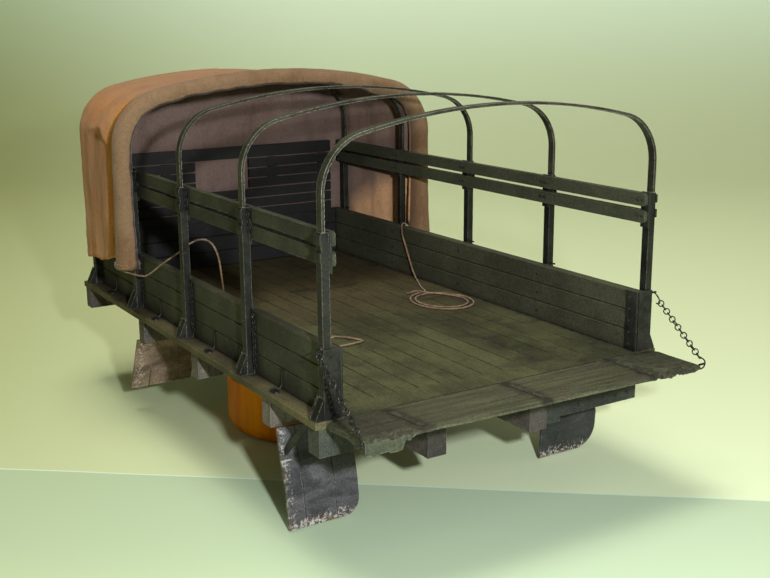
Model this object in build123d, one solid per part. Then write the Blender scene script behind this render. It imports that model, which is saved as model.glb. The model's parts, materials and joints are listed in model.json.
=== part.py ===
from build123d import *
import math
import os

os.makedirs("parts", exist_ok=True)

# 1:25 scale model of a wooden drop-tailgate cargo body, standing on a round plinth.
# Working axes: x = 0 on the centreline (+x right), y = 0 at the rear edge of the floor
# (+y forward), z = 0 on top of the floor. save() moves everything to the row's origin,
# which is on the ground below the middle of the model. Lengths are in millimetres.

# ---------------------------------------------------------------- driving dimensions
GROUND = -31.0          # table top, below the floor's top
MIDDLE_Y = 65.7         # middle of the model's length

INNER_HALF = 40.6       # inside face of a side, 80 in on the real body
SIDE_T = 2.35           # lower side boards
RACK_IN = 41.5          # inside face of a rack board
FLOOR_T = 1.5
BED_FRONT = 147.4
PLANKS = 14
SEAM_W, SEAM_DEEP = 0.18, 0.35
SEAM_REAR = 6.8         # the seams end at the board across the rear

BAY = 35.58             # from post to post
POST_COUNT = 5
FIRST_POST_Y = 0.9
POST_T = 2.05           # along the side
POST_DEEP = 1.8         # across the side
POST_IN = 43.0          # inner face of a post
POST_OUT = POST_IN + POST_DEEP
RACK_TOP = 38.3
SIDE_FRONT, RACK_FRONT = 146.2, 144.1
BOARD_H = 4.85
BOARD_LOW = [0.05, 5.0, 9.95]           # bottom of each lower board
BOARD_EDGE = 0.22                       # bevel along the edges of a board
RACK_CORNER = 0.9                       # rounding of a rack board's rear corners
RACKS = [(31.22, 3.1), (35.2, 3.1)]     # (bottom, height) of each rack board

LEDGE_OUT = 47.0
LEDGE_IN = INNER_HALF + 0.1
LEDGE_REAR, LEDGE_FRONT = -0.3, 147.6

BOW_X, BOW_CREST, BOW_SHOULDER = 44.5, 61.2, 12.0
BOW_T, BOW_W = 0.65, 2.0
CROWN_SLOPE = 13.0      # the crown meets the shoulder at this slope, degrees

CANVAS_BOTTOM = 10.0
CANVAS_REAR, CANVAS_FRONT = 106.75, 148.2
ROLL_Y, ROLL_R, ROLL_BOTTOM = 103.3, 3.3, 12.6

HINGE_Y, HINGE_Z = -1.8, -1.0
GATE_HALF, GATE_T = 45.3, 1.5
GATE_ROOT, GATE_TIP = -2.9, -16.8
GATE_TILT = 4.0         # the open gate's tip stands this many degrees above level
PIN_R, BORE_R, KNUCKLE_R = 0.40, 0.45, 0.85
HINGE_X = (-31.0, 0.0, 31.0)

EYE_X = 46.5            # plane of a chain
EYE_Y, EYE_Z = 0.2, 14.0
HOOK_FLAT_Y, HOOK_FLAT_Z = -15.9, -0.8      # before the gate is tilted
LINK_R, LINK_WIRE, LINK_PLATE = 0.75, 0.30, 0.34
PEG_R = 0.25

SILL_TOP = -FLOOR_T - 0.05
POT_X, POT_Y, POT_R, POT_EDGE = -6.6, 76.8, 23.1, 3.4
MAIN_SILL_LOW = -15.8

POST_Y = [FIRST_POST_Y + n * BAY for n in range(POST_COUNT)]
SIDES = (("left", -1), ("right", 1))


# ---------------------------------------------------------------- small helpers
def block(x0, x1, y0, y1, z0, z1):
    """A box from its lowest to its highest corner, in either order of x."""
    x0, x1 = min(x0, x1), max(x0, x1)
    centre = ((x0 + x1) / 2, (y0 + y1) / 2, (z0 + z1) / 2)
    return Pos(*centre) * Box(x1 - x0, y1 - y0, z1 - z0)


def across(points, x0, x1):
    """A plate whose outline is given as (y, z) points, from x0 to x1."""
    x0, x1 = min(x0, x1), max(x0, x1)
    face = make_face(Polyline(*[(x0, y, z) for y, z in points], close=True))
    return extrude(face, amount=x1 - x0, dir=(1, 0, 0))


def along(points, y0, y1):
    """A bar whose outline is given as (x, z) points, from y0 to y1."""
    face = make_face(Polyline(*[(x, y0, z) for x, z in points], close=True))
    return extrude(face, amount=y1 - y0, dir=(0, 1, 0))


def arch_curves(leg_x, crest, shoulder, low, y):
    """The five curves of an arch: leg, shoulder, crown, shoulder, leg."""
    slope = math.radians(CROWN_SLOPE)
    end_x = leg_x - shoulder + shoulder * math.sin(slope)
    crown_r = end_x / math.sin(slope)
    end_z = crest - crown_r * (1 - math.cos(slope))
    spring = end_z - shoulder * math.cos(slope)
    mid = math.radians(90 - CROWN_SLOPE) / 2
    mid_x = leg_x - shoulder + shoulder * math.cos(mid)
    mid_z = spring + shoulder * math.sin(mid)
    return [
        Line((-leg_x, y, low), (-leg_x, y, spring)),
        ThreePointArc((-leg_x, y, spring), (-mid_x, y, mid_z), (-end_x, y, end_z)),
        ThreePointArc((-end_x, y, end_z), (0, y, crest), (end_x, y, end_z)),
        ThreePointArc((end_x, y, end_z), (mid_x, y, mid_z), (leg_x, y, spring)),
        Line((leg_x, y, spring), (leg_x, y, low)),
    ]


def arch_face(leg_x, crest, shoulder, low, y):
    """The face under an arch, closed along its bottom."""
    curves = arch_curves(leg_x, crest, shoulder, low, y)
    return make_face(curves + [Line((leg_x, y, low), (-leg_x, y, low))])


def arch_band(outer, thick_x, thick_z, low, y0, y1):
    """A band bent to an arch, from y0 to y1. outer is (leg x, crest, shoulder radius)."""
    leg_x, crest, shoulder = outer
    skin = arch_face(leg_x, crest, shoulder, low, y0)
    core = arch_face(leg_x - thick_x, crest - thick_z, shoulder - (thick_x + thick_z) / 2,
                     low - 1, y0)
    return extrude(skin - core, amount=y1 - y0, dir=(0, 1, 0))


def rod(x0, x1, y, z, radius):
    """A round rod along x."""
    return Pos((x0 + x1) / 2, y, z) * Rot(0, 90, 0) * Cylinder(radius, abs(x1 - x0))


def save(name, shape):
    """Write one node, moved to the row's origin."""
    moved = Pos(0, -MIDDLE_Y, -GROUND) * shape
    export_step(moved, "parts/" + name + ".step")


# ---------------------------------------------------------------- floor and its frame
def floor_deck():
    deck = block(-INNER_HALF, INNER_HALF, 0, BED_FRONT, -FLOOR_T, 0)
    pitch = 2 * INNER_HALF / PLANKS
    for n in range(1, PLANKS):
        x = -INNER_HALF + n * pitch
        deck -= block(x - SEAM_W / 2, x + SEAM_W / 2, SEAM_REAR, BED_FRONT + 1, -SEAM_DEEP, 1)
    return deck


# (name, rear face y, front face y, half width, bottom z)
CROSS_SILLS = [
    ("rear_sill", 0.0, 4.5, 46.1, -7.8),
    ("cross_sill_1", 22.0, 26.0, 46.0, -8.2),
    ("cross_sill_2", 61.8, 65.8, 46.0, -8.2),
    ("cross_sill_3", 99.0, 103.0, 46.0, -8.2),
    ("front_sill", 143.3, 147.3, 46.6, -7.8),
]
MAIN_SILL_X = (11.9, 16.9)
MAIN_SILL_Y = (4.0, 145.0)
MAIN_SILL_TOP = -7.6


def cross_sill(rear, front, half, low):
    """A cross beam, notched over the two lengthways sills."""
    beam = block(-half, half, rear, front, low, SILL_TOP)
    for _, side in SIDES:
        beam -= block(side * (MAIN_SILL_X[0] - 0.05), side * (MAIN_SILL_X[1] + 0.05),
                      rear - 1, front + 1, low - 1, MAIN_SILL_TOP + 0.05)
    return beam


def floor_frame():
    save("floor_deck", floor_deck())
    for name, rear, front, half, low in CROSS_SILLS:
        save(name, cross_sill(rear, front, half, low))
    for word, side in SIDES:
        save("main_sill_" + word, block(side * MAIN_SILL_X[0], side * MAIN_SILL_X[1],
                                        *MAIN_SILL_Y, MAIN_SILL_LOW, MAIN_SILL_TOP))
        save("ledge_" + word, block(side * LEDGE_IN, side * LEDGE_OUT,
                                    LEDGE_REAR, LEDGE_FRONT, -FLOOR_T, 0))


# ---------------------------------------------------------------- sides
FOOT_H = 4.8
FOOT_REACH = 46.8
FOOT_PLATE = 0.45


def post_foot(side, y):
    """The flared socket of one post: a wedge between two cheeks on a thin sole."""
    near = POST_OUT + 0.02
    slope = [(side * near, 0.02), (side * FOOT_REACH, 0.02),
             (side * FOOT_REACH, 0.5), (side * near, FOOT_H)]
    foot = along(slope, y - POST_T / 2, y + POST_T / 2)
    cheek_gap = POST_T / 2 + 0.4
    foot += along(slope, y + cheek_gap, y + cheek_gap + FOOT_PLATE)
    foot += block(side * near, side * FOOT_REACH, y - POST_T / 2,
                  y + cheek_gap + FOOT_PLATE, 0.02, 0.35)
    return foot


def plank(x0, x1, y0, y1, z0, z1, along_axis):
    """A board whose long edges, which run along one axis, are bevelled."""
    board = block(x0, x1, y0, y1, z0, z1)
    return chamfer(board.edges().filter_by(along_axis), BOARD_EDGE)


def rack_board(x0, x1, low, high):
    """A rack board with bevelled long edges and rounded rear corners."""
    board = block(x0, x1, -0.1, RACK_FRONT, low, low + high)
    board = fillet(board.edges().filter_by(Axis.X).group_by(Axis.Y)[0], RACK_CORNER)
    return board


def sides():
    for word, side in SIDES:
        inner, outer = side * INNER_HALF, side * (INNER_HALF + SIDE_T)
        boards = [plank(inner, outer, 0, SIDE_FRONT, low, low + BOARD_H, Axis.Y)
                  for low in BOARD_LOW]
        racks = [rack_board(side * RACK_IN, outer, low, high) for low, high in RACKS]
        posts = [block(side * POST_IN, side * POST_OUT, y - POST_T / 2, y + POST_T / 2,
                       0.05, RACK_TOP) for y in POST_Y]
        save("side_boards_" + word, Compound(boards))
        save("rack_boards_" + word, Compound(racks))
        save("posts_" + word, Compound(posts))
        save("post_feet_" + word, Compound([post_foot(side, y) for y in POST_Y]))
        save("rear_plate_" + word, block(side * (INNER_HALF + 0.3), side * (POST_OUT + 0.15),
                                         -0.45, -0.15, 0.1, 14.85))


def bows():
    for n, y in enumerate(POST_Y):
        band = arch_band((BOW_X, BOW_CREST, BOW_SHOULDER), BOW_T, BOW_T, RACK_TOP + 0.02,
                         y - BOW_W / 2, y + BOW_W / 2)
        save(f"bow_{n + 1}", band)


# ---------------------------------------------------------------- front wall
FRONT_Y = (144.2, 145.9)
SLAT_Y = (144.2, 145.0)
STRUT_Y = (145.0, 145.9)
SLAT_LOW, SLAT_TOP, SLAT_COUNT = 14.9, 34.6, 6
SLAT_GAP = 0.55
WIDE_SLATS = 3                       # the lowest slats run the full width
WINDOW_X = (-10.1, 8.7)              # gap between the upper slats
FRONT_HALF = 40.4
RAIL_X = (-40.4, 39.0)               # the rail and slats stop short of the right side
STRUT_W = 2.8
STRUT_X = {"left": (-37.6, -19.5), "right": (17.6, 36.4)}


def slat_panel(word, x0, x1):
    """The upper slats of one side of the front wall, joined by their two struts."""
    pitch = (SLAT_TOP - SLAT_LOW) / SLAT_COUNT
    panel = Part()
    for n in range(WIDE_SLATS, SLAT_COUNT):
        low = SLAT_LOW + n * pitch
        panel += block(x0, x1, *SLAT_Y, low, low + pitch - SLAT_GAP)
    for x in STRUT_X[word]:
        panel += block(x - STRUT_W / 2, x + STRUT_W / 2, *STRUT_Y,
                       SLAT_LOW + WIDE_SLATS * pitch, SLAT_TOP - SLAT_GAP)
    return panel


def front_wall():
    pitch = (SLAT_TOP - SLAT_LOW) / SLAT_COUNT
    save("front_rail", block(*RAIL_X, *FRONT_Y, SLAT_TOP, 38.2))
    boards = [plank(-FRONT_HALF, FRONT_HALF, *FRONT_Y, low, low + BOARD_H, Axis.X)
              for low in BOARD_LOW]
    save("front_boards", Compound(boards))
    wide = [SLAT_LOW + n * pitch for n in range(WIDE_SLATS)]
    slats = [block(*RAIL_X, *SLAT_Y, low, low + pitch - SLAT_GAP) for low in wide]
    save("front_slats_wide", Compound(slats))
    save("front_slats_left", slat_panel("left", RAIL_X[0] + 1.8, WINDOW_X[0]))
    save("front_slats_right", slat_panel("right", WINDOW_X[1], RAIL_X[1]))


# ---------------------------------------------------------------- canvas
def canvas():
    cover = arch_band((47.4, 63.1, 13.6), 2.0, 1.3, CANVAS_BOTTOM, CANVAS_REAR, CANVAS_FRONT)
    save("canvas_cover", cover)
    curtain = arch_face(45.2, 61.6, 12.4, CANVAS_BOTTOM - 0.5, 146.6)
    save("front_curtain", extrude(curtain, amount=1.0, dir=(0, 1, 0)))
    path = Wire(arch_curves(48.0, 62.6, 13.6, ROLL_BOTTOM, ROLL_Y))
    ring = Plane(origin=path @ 0, z_dir=(0, 0, 1)) * Circle(ROLL_R)
    save("canvas_roll", sweep(ring, path=path))


# ---------------------------------------------------------------- tailgate and chains
KNUCKLE_HALF = 1.0                    # half length of the middle knuckle
LEAF_GAP = 0.15
LEAF_LEN = 1.8                        # length of each outer knuckle


def knuckle(x0, x1, toward):
    """One barrel of a hinge with its web towards +y (the sill) or -y (the gate)."""
    barrel = rod(x0, x1, HINGE_Y, HINGE_Z, KNUCKLE_R)
    web_end = -0.02 if toward > 0 else GATE_ROOT - 1.5
    low, high = sorted((HINGE_Y, web_end))
    web = block(x0, x1, low, high, HINGE_Z - 0.8, HINGE_Z - 0.2)
    if toward > 0:
        web += block(x0, x1, -0.35, web_end, -5.0, HINGE_Z - 0.2)
    return barrel + web - rod(x0 - 1, x1 + 1, HINGE_Y, HINGE_Z, BORE_R)


def lifted(shape):
    """A shape of the level gate, turned about the hinge line to its resting tilt."""
    return Pos(0, HINGE_Y, HINGE_Z) * Rot(-GATE_TILT, 0, 0) * Pos(0, -HINGE_Y, -HINGE_Z) * shape


def lifted_point(y, z):
    """A point (y, z) of the level gate, turned about the hinge line to its resting tilt."""
    c, s = math.cos(math.radians(GATE_TILT)), math.sin(math.radians(GATE_TILT))
    dy, dz = y - HINGE_Y, z - HINGE_Z
    return HINGE_Y + dy * c + dz * s, HINGE_Z - dy * s + dz * c


def gate_board():
    """The level gate with its root corners rounded and its middle knuckles."""
    board = block(-GATE_HALF, GATE_HALF, GATE_TIP, GATE_ROOT, -GATE_T, 0)
    root = board.edges().filter_by(Axis.Z).group_by(Axis.Y)[-1]
    board = fillet(root, 3.2)
    for x in HINGE_X:
        board += knuckle(x - KNUCKLE_HALF, x + KNUCKLE_HALF, -1)
    return board


def tailgate():
    save("tailgate_board", lifted(gate_board()))
    straps = [block(x - 0.8, x + 0.8, -14.4, GATE_ROOT - 0.3, 0.02, 0.32) for x in HINGE_X]
    save("tailgate_straps", lifted(Compound(straps)))
    leaves = []
    for x in HINGE_X:
        for side in (-1, 1):
            start = x + side * (KNUCKLE_HALF + LEAF_GAP)
            leaves.append(knuckle(*sorted((start, start + side * LEAF_LEN)), 1))
    save("hinge_leaves", Compound(leaves))
    reach = KNUCKLE_HALF + LEAF_GAP + LEAF_LEN
    pins = [rod(x - reach, x + reach, HINGE_Y, HINGE_Z, PIN_R) for x in HINGE_X]
    save("hinge_pins", Compound(pins))


def chain_half(x, start, stop):
    """A row of flat rings from the ring round its peg at start to near stop, as (y, z)."""
    dy, dz = stop[0] - start[0], stop[1] - start[1]
    length = math.hypot(dy, dz)
    count = 10
    pitch = (length - LINK_R - 0.03) / (count - 1)
    row = Part()
    for n in range(count):
        y = start[0] + dy / length * n * pitch
        z = start[1] + dz / length * n * pitch
        row += rod(x - LINK_PLATE / 2, x + LINK_PLATE / 2, y, z, LINK_R)
    for n in range(count):
        y = start[0] + dy / length * n * pitch
        z = start[1] + dz / length * n * pitch
        row -= rod(x - 1, x + 1, y, z, LINK_R - LINK_WIRE)
    return row


def chains():
    eye, hook = (EYE_Y, EYE_Z), lifted_point(HOOK_FLAT_Y, HOOK_FLAT_Z)
    middle = ((eye[0] + hook[0]) / 2, (eye[1] + hook[1]) / 2)
    save("post_eyes", Compound([rod(side * (POST_OUT + 0.02), side * (EYE_X + 0.3), *eye, PEG_R)
                                for _, side in SIDES]))
    save("gate_eyes", Compound([rod(side * (GATE_HALF + 0.01), side * (EYE_X + 0.7), *hook, PEG_R)
                                for _, side in SIDES]))
    for word, side in SIDES:
        save("chain_upper_" + word, chain_half(side * (EYE_X - 0.22), eye, middle))
        save("chain_lower_" + word, chain_half(side * (EYE_X + 0.22), hook, middle))


# ---------------------------------------------------------------- flaps, braces, plinth
FLAP_T = 0.7
FLAP_X = {"rear": (27.0, 45.0), "front": (28.7, 46.6)}
SCORE_W, SCORE_DEEP = 0.3, 0.3
# rear face of each flap as (y, z), from the top down
FRONT_FLAP = [(103.2, -8.3), (110.5, -24.4)]
FLAPS = {
    "rear_left": [(21.0, -8.3), (20.0, -13.2), (17.6, -21.0), (16.2, -30.6)],
    "rear_right": [(21.0, -8.3), (19.6, -13.2), (17.2, -21.0), (17.8, -30.4)],
    "front_left": FRONT_FLAP,
    "front_right": FRONT_FLAP,
}
FLAP_CORNER = {"rear_left": 4.0, "rear_right": 6.0}
FLAP_SCORES = {"rear_left": (-40.8, -33.0), "rear_right": (32.6,),
               "front_left": (-33.0,), "front_right": (33.0,)}
SLIT_X, SLIT_W, SLIT_H = 41.3, 0.5, 5.5                     # a torn slit in each front flap
BRACE_END = {"left": ((19.6, -14.2), (19.9, -12.8)), "right": ((19.3, -13.8), (19.65, -12.6))}
BAR_X, BAR_Y, BAR_LOW = (21.4, 46.0), (4.6, 5.9), -13.9     # bar behind the rear sill
BAR_BLOCK_X, BAR_BLOCK_LOW = (17.05, 21.4), -15.0


def flap(name, end, side):
    """A hanging flap, scored from top to bottom, with a rounded corner or a torn slit below."""
    profile = FLAPS[name]
    back = [(y + FLAP_T, z) for y, z in reversed(profile)]
    inner, outer = (side * x for x in FLAP_X[end])
    plate = across(profile + back, inner, outer)
    low_y, low_z = profile[-1]
    groove = [(y - 1, z) for y, z in profile] + [(y + SCORE_DEEP, z) for y, z in reversed(profile)]
    for x in FLAP_SCORES[name]:
        plate -= across(groove, x - SCORE_W / 2, x + SCORE_W / 2)
    if end == "front":
        return plate - block(side * SLIT_X, side * (SLIT_X + SLIT_W), low_y - 9, low_y + 9,
                             low_z - 1, low_z + SLIT_H)
    radius, edge = FLAP_CORNER[name], max(inner, outer)
    x, z = edge - radius, low_z + radius
    corner = block(x, edge + 1, low_y - 9, low_y + 9, low_z - 1, z)
    corner -= Pos(x, low_y, z) * Rot(90, 0, 0) * Cylinder(radius, 20)
    return plate - corner


def rear_bar():
    """The bar that hangs behind the right half of the rear sill, with its end block."""
    bar = block(*BAR_X, *BAR_Y, BAR_LOW, SILL_TOP)
    return bar + block(*BAR_BLOCK_X, *BAR_Y, BAR_BLOCK_LOW, SILL_TOP)


def flaps():
    save("rear_bar", rear_bar())
    for word, side in SIDES:
        for end in ("rear", "front"):
            save(f"flap_{end}_{word}", flap(f"{end}_{word}", end, side))
        brace = [BRACE_END[word][0], (6.0, -1.6), (7.6, -1.6), BRACE_END[word][1]]
        save("flap_brace_" + word, across(brace, side * 43.4, side * 44.0))


def plinth():
    pot = Pos(POT_X, POT_Y, (GROUND + MAIN_SILL_LOW) / 2) * Cylinder(POT_R, MAIN_SILL_LOW - GROUND)
    rims = pot.edges().filter_by(GeomType.CIRCLE).sort_by(Axis.Z)
    save("plinth", fillet(rims[0], POT_EDGE))


# ---------------------------------------------------------------- ropes
ROPE_D = 0.55
TIGHT = 0.45            # share of the shorter run that a bend may use up


def rope(points):
    """A tube of straight runs joined by tangent arcs through hand-placed points."""
    corners = [Vector(*p) for p in points]
    radii = []
    for a, b, c in zip(corners, corners[1:], corners[2:]):
        before, after = (b - a), (c - b)
        turn = math.radians(before.get_angle(after))
        shorter = min(before.length, after.length)
        radii.append(TIGHT * shorter / math.tan(turn / 2))
    line = FilletPolyline(*corners, radius=radii)
    section = Plane(origin=line @ 0, z_dir=line % 0) * Circle(ROPE_D / 2)
    tube = sweep(section, path=line)
    exact = math.pi * (ROPE_D / 2) ** 2 * line.length
    print(f"rope {line.length:.1f} mm, bend radii "
          + ", ".join(f"{r:.1f}" for r in radii)
          + f"; volume {tube.volume:.3f} of {exact:.3f}")
    return tube


LEFT_ROPE = [
    (-49.9, 105.6, 12.0), (-48.4, 104.6, 11.2), (-46.4, 101.8, 10.7), (-45.2, 97.6, 10.8),
    (-44.6, 93.6, 12.9), (-43.0, 89.6, 15.9), (-41.2, 84.2, 18.9), (-40.6, 78.4, 22.3),
    (-39.9, 71.6, 25.0), (-39.4, 65.6, 25.3), (-39.2, 61.9, 22.4), (-39.1, 60.7, 17.4),
    (-38.8, 60.2, 11.4), (-38.0, 59.4, 5.2), (-36.2, 57.8, 0.9), (-32.4, 55.6, 0.32),
    (-29.2, 54.8, 0.32), (-25.6, 54.5, 0.32),
]
RIGHT_ROPE = [
    (44.0, 104.3, 14.6), (42.4, 103.4, 15.6), (40.4, 102.2, 15.7), (39.6, 100.8, 12.8), (39.6, 98.6, 9.2),
    (39.5, 96.8, 6.2), (39.3, 94.6, 2.8), (38.6, 91.4, 0.6), (36.4, 86.6, 0.32), (33.6, 81.0, 0.32), (32.6, 76.8, 0.32),
]


def coil(cx, cy, rx, ry, turn, width, height):
    """The outer shape of a loose flat coil: an oval ring lying on the floor."""
    ring = extrude(Ellipse(rx, ry) - Ellipse(rx - width, ry - width), amount=height)
    return Pos(cx, cy, 0.05) * Rot(0, 0, turn) * ring


def ropes():
    save("rope_left", rope(LEFT_ROPE))
    save("rope_right", rope(RIGHT_ROPE))
    save("rope_coil_left", coil(-18.0, 47.5, 10.4, 5.4, -27, 2.0, 1.2))
    save("rope_coil_right", coil(30.4, 65.4, 9.3, 10.9, 0, 2.4, 1.2))


floor_frame()
sides()
bows()
front_wall()
canvas()
tailgate()
chains()
flaps()
plinth()
ropes()
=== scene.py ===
"""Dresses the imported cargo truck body: paint, cloth, chains, ropes, fittings, lights and camera."""

import json
import logging
import math
from collections.abc import Callable, Iterable
from dataclasses import dataclass
from enum import Enum

import bmesh
import bpy
from mathutils import Matrix, Vector, noise

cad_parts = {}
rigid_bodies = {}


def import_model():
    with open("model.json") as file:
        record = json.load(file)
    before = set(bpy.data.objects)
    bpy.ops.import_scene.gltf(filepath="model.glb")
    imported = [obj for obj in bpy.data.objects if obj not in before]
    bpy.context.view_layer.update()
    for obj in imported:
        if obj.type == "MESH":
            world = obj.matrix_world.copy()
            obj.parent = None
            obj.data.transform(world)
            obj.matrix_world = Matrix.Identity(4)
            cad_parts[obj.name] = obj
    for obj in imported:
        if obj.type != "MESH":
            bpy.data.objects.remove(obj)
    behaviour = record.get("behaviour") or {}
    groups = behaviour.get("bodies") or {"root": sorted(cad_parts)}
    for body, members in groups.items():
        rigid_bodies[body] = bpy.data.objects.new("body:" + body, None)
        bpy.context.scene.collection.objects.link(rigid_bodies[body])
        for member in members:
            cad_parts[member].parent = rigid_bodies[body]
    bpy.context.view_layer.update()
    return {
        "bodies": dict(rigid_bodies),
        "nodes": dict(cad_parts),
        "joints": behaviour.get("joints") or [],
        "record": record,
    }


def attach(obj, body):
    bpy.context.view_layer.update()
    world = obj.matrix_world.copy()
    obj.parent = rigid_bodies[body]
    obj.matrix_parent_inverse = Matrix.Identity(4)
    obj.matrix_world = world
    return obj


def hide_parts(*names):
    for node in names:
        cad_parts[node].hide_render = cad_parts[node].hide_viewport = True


log = logging.getLogger("truck_body")

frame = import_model()

MM = 0.001
MIDDLE_Y, GROUND = 65.7, -31.0      # the row frame's origin, in millimetres on the floor's own axes
TO_ROW = Matrix.Translation((0.0, -MIDDLE_Y * MM, -GROUND * MM)) @ Matrix.Scale(MM, 4)
LEFT, RIGHT = -1.0, 1.0
SIDES = (LEFT, RIGHT)
POST_Y = tuple(0.9 + 35.58 * n for n in range(5))
HINGE_Y, HINGE_Z, GATE_SAG = -1.8, -1.0, math.radians(-4.0)
GATE_TILT = (Matrix.Translation((0, HINGE_Y, HINGE_Z)) @ Matrix.Rotation(GATE_SAG, 4, "X")
             @ Matrix.Translation((0, -HINGE_Y, -HINGE_Z)))

Colour = tuple[float, float, float]
Socket = bpy.types.NodeSocket
Material = bpy.types.Material
BMesh = bmesh.types.BMesh


# ---------------------------------------------------------------- finishes
class Tree:
    """The node tree of one material, with short calls for the patterns that the finishes share."""

    def __init__(self, name: str) -> None:
        """Starts a material with its shader and its coordinates in millimetres.

        Args:
            name: Name of the material.
        """
        self.material = bpy.data.materials.new(name)
        self.material.use_nodes = True
        self.tree = self.material.node_tree
        self.shader = self.tree.nodes["Principled BSDF"]
        self.place = self.tree.nodes.new("ShaderNodeTexCoord")
        self.at = self.mm()
        self.x, self.y, self.z = self.node("SeparateXYZ", Vector=self.at).outputs

    def node(self, kind: str, options: dict | None = None, **inputs: object) -> bpy.types.Node:
        """Adds a node.

        Args:
            kind: Shader node type, without its prefix.
            options: Properties of the node.
            **inputs: Values or sockets for its inputs, with _ for each space.

        Returns:
            The new node.
        """
        made = self.tree.nodes.new("ShaderNode" + kind)
        for key, value in (options or {}).items():
            setattr(made, key, value)
        for key, value in inputs.items():
            self.feed(made.inputs[key.replace("_", " ")], value)
        return made

    def feed(self, socket: Socket, value: object) -> None:
        """Links a socket to an input, or sets the input's own value.

        Args:
            socket: The input.
            value: A socket, a number, a vector or a colour.
        """
        if isinstance(value, Socket):
            self.tree.links.new(value, socket)
        elif isinstance(value, tuple) and socket.type == "RGBA":
            socket.default_value = (*value[:3], 1.0)
        else:
            socket.default_value = value

    def mm(self, stretch: tuple = (1.0, 1.0, 1.0), source: str = "Object") -> Socket:
        """Coordinates in millimetres, each axis times its stretch, which is small along a grain."""
        scale = tuple(s / MM for s in stretch)
        return self.node("Mapping", Vector=self.place.outputs[source], Scale=scale).outputs[0]

    def noise(self, scale: float, detail: float = 4.0, rough: float = 0.7, warp: float = 0.0,
              at: Socket | None = None) -> Socket:
        """Soft noise from 0 to 1; scale is in repeats per millimetre, and at replaces the coordinates."""
        made = self.node("TexNoise", Vector=at or self.at, Scale=scale, Detail=detail, Roughness=rough,
                         Distortion=warp)
        return made.outputs["Fac"]

    def mask(self, value: Socket, low: float, high: float, top: float = 1.0) -> Socket:
        """A smooth step from 0 at low to top at high."""
        made = self.node("MapRange", {"interpolation_type": "SMOOTHSTEP"}, Value=value,
                         From_Min=low, From_Max=high, To_Min=0.0, To_Max=top)
        return made.outputs[0]

    def below(self, value: Socket, low: float, high: float, drop: float = 1.0) -> Socket:
        """1 under low, and lower by drop above high."""
        return self.maths("SUBTRACT", 1.0, self.mask(value, low, high, drop))

    def maths(self, how: str, a: object, b: object = 0.0) -> Socket:
        """One sum.

        Args:
            how: Name of the operation.
            a: A number or a socket.
            b: Another.

        Returns:
            The result.
        """
        made = self.node("Math", {"operation": how})
        self.feed(made.inputs[0], a)
        self.feed(made.inputs[1], b)
        return made.outputs[0]

    def times(self, a: object, b: object) -> Socket:
        """a times b."""
        return self.maths("MULTIPLY", a, b)

    def plus(self, a: object, b: object) -> Socket:
        """a plus b."""
        return self.maths("ADD", a, b)

    def mix(self, share: object, a: object, b: object, how: str = "MIX") -> Socket:
        """Two colours mixed.

        Args:
            share: How much of the second there is, from 0 to 1.
            a: The first colour.
            b: The second colour.
            how: Name of the way they are blended.

        Returns:
            The mixed colour.
        """
        made = self.node("Mix", {"data_type": "RGBA", "blend_type": how, "clamp_factor": True})
        share_in, a_in, b_in, result = 0, 6, 7, 2
        for index, value in ((share_in, share), (a_in, a), (b_in, b)):
            self.feed(made.inputs[index], value)
        return made.outputs[result]

    def fade(self, colour: object, towards: object, value: Socket, low: float, high: float,
             share: float = 1.0) -> Socket:
        """A colour changed towards another by up to share, as a value rises from low to high."""
        return self.mix(self.mask(value, low, high, share), colour, towards)

    def edges(self, reach: float) -> Socket:
        """Where a piece wears.

        Args:
            reach: Breadth of the worn edge in millimetres.

        Returns:
            1 along outer edges and corners, 0 away from them.
        """
        rounded = self.node("Bevel", {"samples": 6}, Radius=reach * MM).outputs[0]
        dot = self.node("VectorMath", {"operation": "DOT_PRODUCT"})
        self.feed(dot.inputs[0], rounded)
        self.feed(dot.inputs[1], self.node("NewGeometry").outputs["Normal"])
        return self.mask(self.maths("SUBTRACT", 1.0, dot.outputs["Value"]), 0.01, 0.22)

    def corners(self, reach: float, low: float = 0.35, high: float = 0.95) -> Socket:
        """1 in hollows and where pieces meet, where shade falls, 0 in the open; used for dirt and painted
        shade.
        """
        open_sky = self.node("AmbientOcclusion", {"samples": 6}, Distance=reach * MM).outputs["AO"]
        return self.below(open_sky, low, high)

    def grit(self, colour: object, scale: float, low: float, high: float) -> Socket:
        """A colour made darker and lighter in fine specks.

        Args:
            colour: The colour.
            scale: Specks per millimetre.
            low: What the darkest specks are multiplied by.
            high: What the lightest ones are multiplied by.

        Returns:
            The speckled colour.
        """
        specks = self.node("MapRange", Value=self.noise(scale, 2.0, 0.7), From_Min=0.30, From_Max=0.70,
                           To_Min=low, To_Max=high)
        return self.mix(1.0, colour, specks.outputs[0], "MULTIPLY")

    def finish(self, colour: Socket, bumps: Iterable[tuple], rough: tuple | None = None,
               **inputs: float | Socket) -> Material:
        """Feeds the shader.

        Args:
            colour: The base colour.
            bumps: Height, strength and depth in millimetres of each layer of relief, the lowest layer first.
            rough: A pattern and the roughness where it is 0 and 1, if the roughness varies.
            **inputs: The shader's other inputs, with _ for each space.

        Returns:
            The finished material.
        """
        if rough:
            pattern, least, most = rough
            inputs["Roughness"] = self.node("MapRange", Value=pattern, To_Min=least, To_Max=most).outputs[0]
        normal = None
        for height, strength, depth in bumps:
            made = self.node("Bump", Height=height, Strength=strength, Distance=depth * MM)
            if normal:
                self.feed(made.inputs["Normal"], normal)
            normal = made.outputs[0]
        for key, value in {"Base_Color": colour, "Normal": normal, **inputs}.items():
            self.feed(self.shader.inputs[key.replace("_", " ")], value)
        return self.material


class Grain(Enum):
    """Which way wood grain runs: the stretch of its pattern on each axis."""

    ACROSS = (0.05, 1.0, 1.0)
    LENGTHWAYS = (1.0, 0.05, 1.0)
    UPRIGHT = (1.0, 1.0, 0.05)


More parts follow.
